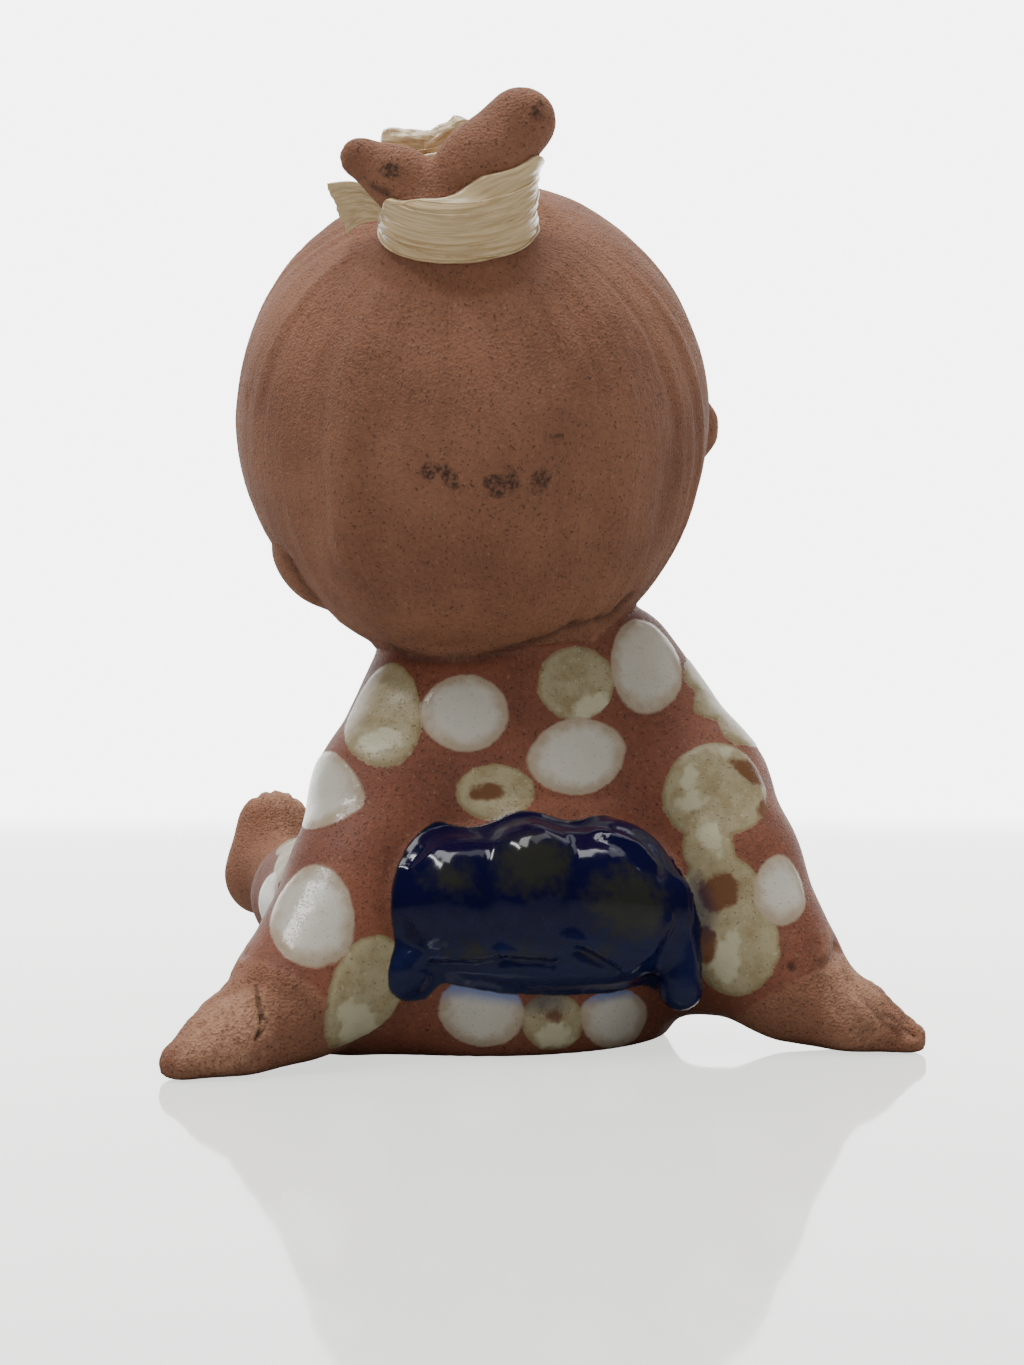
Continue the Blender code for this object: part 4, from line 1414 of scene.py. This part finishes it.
    def build(self) -> bpy.types.Object:
        """Make the figure and dress it.

        Returns:
            The finished object.
        """
        shape = self.skin()
        self.refine(shape, read_points(shape.data))
        mesh = shape.data
        p = settle(girl, read_points(mesh))
        normal = unit(slope_of(girl, p) + 1e-9)
        m = members(p)
        height, groove = self.relief(p, m)
        coats = self.coats(p, m)
        glaze = np.minimum(coats["white"], coats["cream"])
        height += (self.glaze_thick * smooth(glaze, 0.15, -0.5)
                   + self.cobalt_thick * smooth(coats["blue"], 0.15, -0.5))
        height *= smooth(p[:, 2], 0.05, 1.2) * (1 - self.under_tape(p))
        done = p + normal * height[:, None]
        done[:, 2] = np.maximum(done[:, 2], 0)
        mesh.vertices.foreach_set("co", (done * MM).astype(np.float32).ravel())
        mesh.update()
        write_attribute(mesh, "hair", self.hair_share(p, m))
        write_attribute(mesh, "comb", self.comb_axes(p))
        # Painted shade in grooves and creases, and the face's painted lines.
        write_attribute(mesh, "groove", groove)
        for name, values in coats.items():
            write_attribute(mesh, name, values)
        mesh.materials.clear()
        mesh.materials.append(self.finish.make())
        shape.name = "clay_girl_looks"
        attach(shape, "root")
        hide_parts("clay_girl")
        LOG.info("%s: %d points", shape.name, len(p))
        return shape


@dataclass(frozen=True)
class TapeFinish:
    """Glossy cream tape, pleated along its length."""

    light: tuple = colour(232, 206, 160)
    deep: tuple = colour(178, 142, 92)
    glow: float = 0.25
    glow_reach: tuple = (0.0008, 0.0006, 0.0004)
    gloss: float = 1.0
    gloss_rough: float = 0.16
    streak_deep: float = 0.09  # millimetres
    streak_strength: float = 0.6

    def make(self) -> bpy.types.Material:
        """The material, streaked along the tape by the mesh's own attribute.

        Returns:
            The material.
        """
        g = Graph("glossy_tape")
        fibre = g.attribute("fibre", vector=True)
        streak = g.noise(0.2, 3.0, 0.6, fibre)
        wide = g.noise(1.4, 2.0, 0.5, fibre)
        tone = g.mix(self.deep, self.light, g.step(streak, 0.25, 0.65, 0.15, 1.0))
        tone = g.mix(tone, self.light, g.step(wide, 0.4, 0.75, 0.0, 0.6))
        g.link(tone, g.shader.inputs["Base Color"])
        g.link(g.step(streak, 0.3, 0.7, 0.3, 0.16), g.shader.inputs["Roughness"])
        for name, value in (("Subsurface Weight", self.glow),
                            ("Subsurface Radius", self.glow_reach),
                            ("Coat Weight", self.gloss),
                            ("Coat Roughness", self.gloss_rough)):
            g.shader.inputs[name].default_value = value
        g.bump(streak, self.streak_deep * MM, self.streak_strength)
        return g.material


@dataclass
class HairTie:
    """The wound tape round the topknot's foot; lengths in millimetres."""

    finish: TapeFinish = TapeFinish()
    width: float = 6.4
    rise: float = 1.7          # how much higher the band climbs up the larger lobe
    rise_turn: float = 3.6     # and at which angle round the topknot
    dip: float = 1.0           # how much lower it ends under the smaller lobe
    gap: float = 0.3
    steps: int = 260
    rows: int = 46
    windings: tuple = ((-2.3, 0.25, 0.4, 1.05), (-1.3, 0.5, 2.2, 0.9), (-0.2, 0.35, 4.0, 1.15),
                       (0.9, 0.55, 5.4, 0.95), (1.9, 0.3, 1.2, 1.1), (2.6, 0.25, 3.1, 0.8))
    tail_root: tuple = (12.7, 14.4, 70.2)
    tail_tip: tuple = (16.3, 12.2, 70.4)
    tail_across: tuple = (0.35, 0.35, 1.0)
    strand_radius: float = 0.08
    strand_waver: float = 0.10
    strand_points: int = 150
    strand_sides: int = 6
    waver_scale: float = 420.0     # of the noise, in metres
    tape_thick: float = 0.16
    rolls: tuple = (((12.2, 13.3, 76.0, 1.25), (8.4, 14.0, 75.6, 1.25)),
                    ((9.2, 14.1, 75.4, 1.1), (6.0, 14.8, 77.2, 1.05)),
                    ((11.6, 13.0, 73.4, 1.6), (9.6, 13.4, 73.6, 1.6)))

    def around(self, angle: Array, along: Array, out: Array) -> Array:
        """Places round the topknot's foot, a distance out from its wall.

        Args:
            angle: Angles round the topknot.
            along: Places along its axis.
            out: Distances out from its wall.

        Returns:
            One place for each angle.
        """
        axis, side, flat = knot_axes()
        wide, deep = KNOT_WIDTH + out, KNOT_DEPTH + out
        return (np.array(KNOT_CENTRE) + (wide * np.cos(angle))[..., None] * side
                + (deep * np.sin(angle))[..., None] * flat + along[..., None] * axis)

    def keep_clear(self, places: Array, gap: float) -> Array:
        """Move places that are closer to the clay than the gap out to it.

        Args:
            places: Places, in any grid.
            gap: The least distance to the clay.

        Returns:
            The places in the same grid.
        """
        flat = places.reshape(-1, 3).copy()
        close = girl(flat) < gap
        if close.any():
            flat[close] = settle(lambda p: girl(p) - gap, flat[close])
        return flat.reshape(places.shape)

    def edges(self, angle: Array) -> tuple[Array, Array]:
        """How far down and up the topknot the tape reaches at each angle.

        Args:
            angle: Angles round the topknot.

        Returns:
            The lower and the upper edge.
        """
        half = self.width / 2
        probe = np.linspace(-half, half, 65)
        around, along = np.meshgrid(angle, probe, indexing="ij")
        clear = girl(self.around(around, along, 0 * along + self.gap + 0.35)) > self.gap
        low, high = [], []
        for row in clear.astype(int):
            ends = np.flatnonzero(np.diff(np.concatenate([[0], row, [0]])))
            longest = np.argmax(ends[1::2] - ends[::2])
            low.append(probe[ends[::2][longest]])
            high.append(probe[ends[1::2][longest] - 1])
        high = np.array(high) + self.rise * smooth(np.cos(angle - self.rise_turn), -0.5, 1.0)
        high -= self.dip * smooth(np.cos(angle + 0.3), 0.7, 1.0)
        window = np.hanning(15) / np.hanning(15).sum()
        return tuple(np.convolve(np.concatenate([e[-7:], e, e[:7]]), window, "valid")
                     for e in (low, high))

    def proud(self, angle: Array, along: Array) -> Array:
        """How far the overlapping windings stand out from the wall.

        Args:
            angle: Angles round the topknot.
            along: Places along its axis.

        Returns:
            Heights above the gap.
        """
        height = np.full(np.shape(angle), 0.22)
        for number, (middle, sway, phase, half) in enumerate(self.windings):
            line = middle + sway * np.sin(angle + phase) + 0.12 * np.sin(3 * angle + phase)
            off = (along - line) / half
            lift = 0.34 + 0.10 * np.sin(2 * angle + 1.7 * number)
            pleat = 0.09 * np.cos(off * 7 + 1.6 * np.sin(angle * 2 + phase))
            shape = np.sqrt(np.maximum(1 - np.abs(off) ** 3, 0))
            height = np.maximum(height, (lift + pleat) * shape)
        q = np.stack([6 * np.cos(angle), 6 * np.sin(angle), along * 9], -1).reshape(-1, 3)
        height = height + 0.06 * lattice_noise(q, 3.0, 21).reshape(np.shape(angle))
        return height

    def hugging(self, places: Array, share: Array, clearance: Array) -> Array:
        """Lean the band's upper part in until it lies on the lobes.

        Args:
            places: Places on the band, by angle and then upwards.
            share: How far up the band each row is, from 0 to 1.
            clearance: How far from the clay each place lies once it leans in.

        Returns:
            The places, leaned in.
        """
        lean = smooth(share, 0.5, 0.96)[None, :, None]
        rows = share > 0.48
        near = places[:, rows]
        gap = clearance[:, rows].ravel()
        drawn = settle(lambda p: girl(p) - gap, near.reshape(-1, 3), 5).reshape(near.shape)
        places = places.copy()
        places[:, rows] = near + (drawn - near) * lean[:, rows]
        return places

    def band(self) -> bpy.types.Object:
        """The wound band as a closed ring with pleats.

        Returns:
            The piece.
        """
        angle = np.linspace(0, 2 * np.pi, self.steps, endpoint=False)
        low, high = self.edges(angle)
        share = np.linspace(0, 1, self.rows)
        along = low[:, None] + (high - low)[:, None] * share
        around = np.repeat(angle[:, None], self.rows, 1)
        edge = np.clip(np.minimum(share, 1 - share) * 9, 0, 1) ** 0.5
        out = self.gap + self.proud(around, along) * (0.35 + 0.65 * edge)
        outer = self.keep_clear(self.hugging(self.around(around, along, out), share,
                                             self.gap + out * 0.5), self.gap)
        inner = self.keep_clear(self.hugging(self.around(around, along, 0 * along + 0.12),
                                             share, 0 * along + 0.12), 0.1)
        ring = np.concatenate([outer, inner[:, ::-1]], 1)
        steps, across = ring.shape[:2]
        i, j = np.meshgrid(np.arange(steps), np.arange(across), indexing="ij")
        k, n = (i + 1) % steps, (j + 1) % across
        faces = np.stack([i * across + j, k * across + j, k * across + n, i * across + n],
                         -1).reshape(-1, 4)
        shape = mesh_object("tape_band", ring.reshape(-1, 3), faces.tolist())
        sloped = along + 0.35 * np.sin(around + 0.8) + 0.15 * np.sin(3 * around)
        fibre = np.stack([0.3 * np.cos(around), 0.3 * np.sin(around), sloped * 0.9], -1)
        fibre = np.concatenate([fibre, fibre[:, ::-1]], 1)
        write_attribute(shape.data, "fibre", fibre.reshape(-1, 3))
        return shape

    def strand_tree(self, material: bpy.types.Material) -> bpy.types.NodeTree:
        """Nodes that sweep a fine flat strand along each guide line.

        Args:
            material: The strands' material.

        Returns:
            The node tree.
        """
        tree = bpy.data.node_groups.new("tape_strands", "GeometryNodeTree")
        face = tree.interface
        face.new_socket("Geometry", in_out="INPUT", socket_type="NodeSocketGeometry")
        for name, kind in (("Strand radius", "Float"), ("Waver", "Float"),
                           ("Points", "Int")):
            face.new_socket(name, in_out="INPUT", socket_type=f"NodeSocket{kind}")
        face.new_socket("Geometry", in_out="OUTPUT", socket_type="NodeSocketGeometry")
        new, link = tree.nodes.new, tree.links.new
        start, end = new("NodeGroupInput"), new("NodeGroupOutput")
        curve, again = new("GeometryNodeMeshToCurve"), new("GeometryNodeResampleCurve")
        link(start.outputs["Geometry"], curve.inputs["Mesh"])
        link(curve.outputs["Curve"], again.inputs["Curve"])
        link(start.outputs["Points"], again.inputs["Count"])
        noise, centred = new("ShaderNodeTexNoise"), new("ShaderNodeVectorMath")
        noise.inputs["Scale"].default_value = self.waver_scale
        scaled, moved = new("ShaderNodeVectorMath"), new("GeometryNodeSetPosition")
        centred.operation, scaled.operation = "SUBTRACT", "SCALE"
        centred.inputs[1].default_value = (0.5, 0.5, 0.5)
        link(noise.outputs["Color"], centred.inputs[0])
        link(centred.outputs[0], scaled.inputs[0])
        link(start.outputs["Waver"], scaled.inputs["Scale"])
        link(again.outputs["Curve"], moved.inputs["Geometry"])
        link(scaled.outputs[0], moved.inputs["Offset"])
        ring, sweep = new("GeometryNodeCurvePrimitiveCircle"), new("GeometryNodeCurveToMesh")
        ring.inputs["Resolution"].default_value = self.strand_sides
        link(start.outputs["Strand radius"], ring.inputs["Radius"])
        link(moved.outputs["Geometry"], sweep.inputs["Curve"])
        link(ring.outputs["Curve"], sweep.inputs["Profile Curve"])
        real, dress = new("GeometryNodeRealizeInstances"), new("GeometryNodeSetMaterial")
        dress.inputs["Material"].default_value = material
        link(sweep.outputs["Mesh"], real.inputs["Geometry"])
        link(real.outputs["Geometry"], dress.inputs["Geometry"])
        link(dress.outputs["Geometry"], end.inputs["Geometry"])
        return tree

    def strands(self, material: bpy.types.Material) -> bpy.types.Object:
        """Fine strands of the tape that stand out along the windings.

        Args:
            material: The strands' material.

        Returns:
            The piece, as a plain mesh.
        """
        dice = np.random.default_rng(11)
        angle = np.linspace(0, 2 * np.pi, 120, endpoint=False)
        low, high = self.edges(angle)
        points, edges, fibre = [], [], []
        for middle, sway, phase, half in self.windings:
            shift = dice.uniform(-0.85, 0.85) * half
            lean = dice.uniform(-0.25, 0.25)
            line = (middle + sway * np.sin(angle + phase) + 0.12 * np.sin(3 * angle + phase)
                    + shift + lean * np.sin(angle + dice.uniform(0, 6)))
            line = np.clip(line, low + 0.25, high - 0.25)
            out = self.gap + self.proud(angle, line) - 0.02
            first = len(points) * len(angle)
            points.append(self.keep_clear(self.around(angle, line, out), self.gap + 0.1))
            steps = np.arange(len(angle))
            edges.append(first + np.stack([steps, (steps + 1) % len(angle)], -1))
            fibre.append(np.stack([np.cos(angle), np.sin(angle), line * 0.96], -1))
        mesh = bpy.data.meshes.new("tape_strands")
        mesh.from_pydata((np.concatenate(points) * MM).tolist(),
                         np.concatenate(edges).tolist(), [])
        write_attribute(mesh, "fibre", np.concatenate(fibre))
        shape = bpy.data.objects.new("tape_strands", mesh)
        bpy.context.scene.collection.objects.link(shape)
        tree = self.strand_tree(material)
        sweep = shape.modifiers.new("Strands", "NODES")
        sweep.node_group = tree
        wanted = {"Strand radius": self.strand_radius * MM,
                  "Waver": self.strand_waver * MM, "Points": self.strand_points}
        for item in tree.interface.items_tree:
            if item.in_out == "INPUT" and item.name in wanted:
                sweep[item.identifier] = wanted[item.name]
        bake(shape)
        return shape

    def ribbon(self, name: str, path: Array, normal: Array, wide: Array,
               pleats: float, ragged: float = 0.0) -> bpy.types.Object:
        """A pleated flat run of tape along a path.

        Args:
            name: The piece's name.
            path: Places along the middle of the run.
            normal: Which way it faces at each place.
            wide: Its half width at each place.
            pleats: Depth of its pleats.
            ragged: How uneven its last end is.

        Returns:
            The piece, with a thin even thickness.
        """
        way = np.gradient(path, axis=0)
        across = unit(np.cross(way, normal))
        facing = unit(np.cross(across, way))
        share = np.linspace(-1, 1, 41)
        row = np.arange(len(path))[:, None]
        fold = pleats * (np.cos(share * 13 + 0.35 * row / len(path) * 9)
                         + 0.6 * np.cos(share * 27 + 2.0))
        late = np.linspace(0, 1, len(path))[:, None] ** 6
        tear = ragged * late * (np.sin(share * 7) + 0.5 * np.sin(share * 23 + 1))
        grid = (path[:, None] + (wide[:, None] * share)[..., None] * across[:, None]
                + fold[..., None] * facing[:, None] + tear[..., None] * unit(way)[:, None])
        grid = self.keep_clear(grid, 0.2)
        count, columns = grid.shape[:2]
        i, j = np.meshgrid(np.arange(count - 1), np.arange(columns - 1), indexing="ij")
        a = i * columns + j
        faces = np.stack([a, a + 1, a + columns + 1, a + columns], -1).reshape(-1, 4)
        shape = mesh_object(name, grid.reshape(-1, 3), faces.tolist())
        length = np.concatenate([[0], np.cumsum(np.linalg.norm(np.diff(path, axis=0),
                                                               axis=1))])
        fibre = np.stack(np.broadcast_arrays(length[:, None] * 0.16, share * 2.2,
                                             0 * fold + 3), -1)
        write_attribute(shape.data, "fibre", fibre.reshape(-1, 3))
        thick = shape.modifiers.new("Thickness", "SOLIDIFY")
        thick.thickness = self.tape_thick * MM
        thick.offset = 0
        bake(shape)
        return shape

    def tail(self) -> bpy.types.Object:
        """The loose end, fanned out at the side of the band.

        Returns:
            The piece.
        """
        root, tip = np.array(self.tail_root), np.array(self.tail_tip)
        share = np.linspace(0, 1, 30)[:, None]
        bulge = np.sin(np.pi * share) * (0.1, -0.2, 0.45)
        path = root + (tip - root) * share + bulge
        across = np.array(self.tail_across)
        normal = np.repeat(unit(np.cross(tip - root, across))[None], len(path), 0)
        wide = 1.1 + 1.1 * share[:, 0] ** 0.8
        return self.ribbon("tape_tail", path, normal, wide, 0.05, 0.06)

    def roll(self, name: str, first: tuple, last: tuple, seed: int) -> bpy.types.Object:
        """A crumpled roll of tape between two places.

        Args:
            name: The piece's name.
            first: x, y, z and radius of one end.
            last: x, y, z and radius of the other end.
            seed: Which crumple.

        Returns:
            The closed piece.
        """
        count, round_count = 46, 44
        start, end = np.array(first[:3]), np.array(last[:3])
        way = unit(end - start)
        one = unit(np.cross(way, (0.3, 0.2, 1.0)))
        two = np.cross(way, one)
        share = np.linspace(-0.16, 1.16, count)[:, None]
        angle = np.linspace(0, 2 * np.pi, round_count, endpoint=False)[None]
        close = np.sqrt(np.clip(1 - np.abs(share * 2 - 1) ** 5 / 1.32 ** 5, 0, 1))
        radius = (first[3] + (last[3] - first[3]) * share) * (0.25 + 0.75 * close)
        spiral = 0.07 * np.cos(7 * angle + 5 * share) + 0.04 * np.cos(15 * angle - 3 * share)
        middle = start + share * (end - start)
        grid = (middle[:, None] + ((radius + spiral) * np.cos(angle))[..., None] * one
                + ((radius + spiral) * np.sin(angle))[..., None] * two).reshape(-1, 3)
        outward = unit(grid - middle.repeat(round_count, 0))
        crumple = 0.22 * lattice_noise(grid, 1.0, seed) + 0.1 * lattice_noise(grid, 0.45, seed)
        grid = self.keep_clear(grid + crumple[:, None] * outward, 0.15)
        i, j = np.meshgrid(np.arange(count - 1), np.arange(round_count), indexing="ij")
        a, b = i * round_count + j, i * round_count + (j + 1) % round_count
        faces = np.stack([a, b, b + round_count, a + round_count], -1).reshape(-1, 4).tolist()
        faces += [list(range(round_count))[::-1],
                  list(range((count - 1) * round_count, count * round_count))]
        shape = mesh_object(name, grid, faces)
        fibre = np.stack(np.broadcast_arrays(share * 0.8, np.cos(angle) * 3,
                                             np.sin(angle) * 3), -1)
        write_attribute(shape.data, "fibre", fibre.reshape(-1, 3))
        return shape

    def knot(self) -> list[bpy.types.Object]:
        """The crumpled knot in front of the topknot."""
        return [self.roll(f"tape_knot_{number + 1}", first, last, 51 + number)
                for number, (first, last) in enumerate(self.rolls)]

    def build(self) -> list[bpy.types.Object]:
        """Make every run of the tape and dress it.

        Returns:
            The finished pieces.
        """
        material = self.finish.make()
        pieces = [self.band(), self.strands(material), self.tail(), *self.knot()]
        for piece in pieces:
            piece.data.materials.clear()
            piece.data.materials.append(material)
            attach(piece, "root")
            LOG.info("%s: %d faces", piece.name, len(piece.data.polygons))
        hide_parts("hair_tie")
        return pieces


@dataclass(frozen=True)
class Lamp:
    """A soft box that faces the figure.

    Its place is right, back towards the camera, and up, in metres.
    """

    name: str
    place: tuple[float, float, float]
    size: tuple[float, float]
    power: float               # in watts


@dataclass
class Studio:
    """Pale glossy floor, pale background and soft lights."""

    view: PhotoView
    floor_radius: float = 0.52
    floor_tone: tuple = colour(180, 180, 178)
    floor_glow: float = 2.7    # how much paler the floor looks than it lights
    floor_mirrored: tuple = colour(136, 136, 135)
    backdrop: tuple = colour(243, 244, 243)
    seen: float = 6.5          # brightness of the backdrop behind the figure
    fill: tuple = (1.1, 0.64)  # light from the far side and from the near side
    mirror: tuple = (4.0, 0.06)    # the same, as glossy surfaces see it
    floor_rough: float = 0.06
    floor_fade: tuple = (0.62, 0.99)   # shares of the radius
    floor_sink: float = 0.02           # below the figure, in millimetres
    target: tuple = (0.0, 0.0, 0.035)  # where the lamps point
    lamps: tuple = (Lamp("overhead", (-0.06, 0.14, 0.9), (0.28, 0.6), 3.2),
                    Lamp("window", (-0.44, 0.27, 0.85), (0.5, 0.06), 2.4),
                    Lamp("wide", (0.1, -0.2, 1.0), (1.0, 0.8), 3.4))

    def floor(self) -> bpy.types.Object:
        """A round glossy floor that fades out at its far edge.

        Returns:
            The floor.
        """
        angle = np.linspace(0, 2 * np.pi, 96, endpoint=False)
        rim = np.stack([np.cos(angle), np.sin(angle), 0 * angle], -1)
        rings = [rim * r * self.floor_radius / MM for r in (0.1, 0.4, 0.75, 1.0)]
        count = len(angle)
        faces = [list(range(count))]
        for ring in range(3):
            for i in range(count):
                k = (i + 1) % count
                faces.append([ring * count + i, (ring + 1) * count + i,
                              (ring + 1) * count + k, ring * count + k])
        floor = mesh_object("floor", np.concatenate(rings) - (0, 0, self.floor_sink),
                            faces)
        g = Graph("pale_floor")
        g.shader.inputs["Roughness"].default_value = self.floor_rough
        length = g.tree.nodes.new("ShaderNodeVectorMath")
        length.operation = "LENGTH"
        g.link(g.place, length.inputs[0])
        clear = g.tree.nodes.new("ShaderNodeBsdfTransparent")
        both = g.tree.nodes.new("ShaderNodeMixShader")
        path = g.tree.nodes.new("ShaderNodeLightPath")
        g.link(g.mix(self.floor_tone, self.floor_mirrored, path.outputs["Is Glossy Ray"]),
               g.shader.inputs["Base Color"])
        g.link(g.math("MULTIPLY", path.outputs["Is Camera Ray"], self.floor_glow),
               g.shader.inputs["Emission Strength"])
        g.shader.inputs["Emission Color"].default_value = self.floor_tone
        low, high = (share * self.floor_radius for share in self.floor_fade)
        fade = g.step(length.outputs["Value"], low, high)
        g.link(fade, both.inputs[0])
        g.link(g.shader.outputs[0], both.inputs[1])
        g.link(clear.outputs[0], both.inputs[2])
        g.link(both.outputs[0], g.tree.nodes["Material Output"].inputs["Surface"])
        floor.data.materials.append(g.material)
        return floor

    def world(self) -> None:
        """A pale surround that is dimmer on the side that the camera stands on."""
        world = bpy.data.worlds.new("studio")
        bpy.context.scene.world = world
        world.use_nodes = True
        tree = world.node_tree
        tree.nodes.clear()
        new, link = tree.nodes.new, tree.links.new
        place, right, up, forward = self.view.axes()
        where, dot = new("ShaderNodeTexCoord"), new("ShaderNodeVectorMath")
        dot.operation = "DOT_PRODUCT"
        dot.inputs[1].default_value = tuple(-forward)
        link(where.outputs["Generated"], dot.inputs[0])
        path, strength = new("ShaderNodeLightPath"), []
        for (far, near), (low, high) in ((self.fill, (-0.1, 0.5)),
                                         (self.mirror, (-0.85, -0.35))):
            ramp = new("ShaderNodeMapRange")
            ramp.interpolation_type = "SMOOTHSTEP"
            for name, number in (("From Min", low), ("From Max", high), ("To Min", far),
                                 ("To Max", near)):
                ramp.inputs[name].default_value = number
            link(dot.outputs["Value"], ramp.inputs["Value"])
            strength.append(ramp.outputs["Result"])
        gloss, pick = new("ShaderNodeMix"), new("ShaderNodeMix")
        gloss.data_type = pick.data_type = "FLOAT"
        link(path.outputs["Is Glossy Ray"], gloss.inputs[0])
        link(strength[0], gloss.inputs[2])
        link(strength[1], gloss.inputs[3])
        link(path.outputs["Is Camera Ray"], pick.inputs[0])
        link(gloss.outputs[0], pick.inputs[2])
        pick.inputs[3].default_value = self.seen
        back, out = new("ShaderNodeBackground"), new("ShaderNodeOutputWorld")
        back.inputs["Color"].default_value = self.backdrop
        link(pick.outputs[0], back.inputs["Strength"])
        link(back.outputs[0], out.inputs["Surface"])

    def light(self, lamp: Lamp) -> None:
        """Hang one lamp.

        Args:
            lamp: Its name, place, size and power.
        """
        data = bpy.data.lights.new(lamp.name, "AREA")
        data.shape = "RECTANGLE"
        data.size, data.size_y = lamp.size
        data.energy = lamp.power
        made = bpy.data.objects.new(lamp.name, data)
        _, right, _, forward = self.view.axes()
        flat = unit(forward * (1, 1, 0))
        across, back, up = lamp.place
        spot = across * right - back * flat + np.array([0, 0, up])
        aim = Vector(np.array(self.target) - spot)
        made.location = spot
        made.rotation_euler = aim.to_track_quat("-Z", "Y").to_euler()
        bpy.context.scene.collection.objects.link(made)

    def build(self) -> None:
        """Set the floor, the surround and the lights."""
        self.floor()
        self.world()
        for lamp in self.lamps:
            self.light(lamp)


def main() -> None:
    """Build the camera, the figure, its hair tie and the studio; the figure and the tie log
    their point and face counts.
    """
    logging.basicConfig(level=logging.INFO, format="%(name)s: %(message)s")
    view = PhotoView()
    view.make()
    ClayGirl(view).build()
    HairTie().build()
    Studio(view).build()
    bpy.context.view_layer.update()


if __name__ == "__main__":
    main()
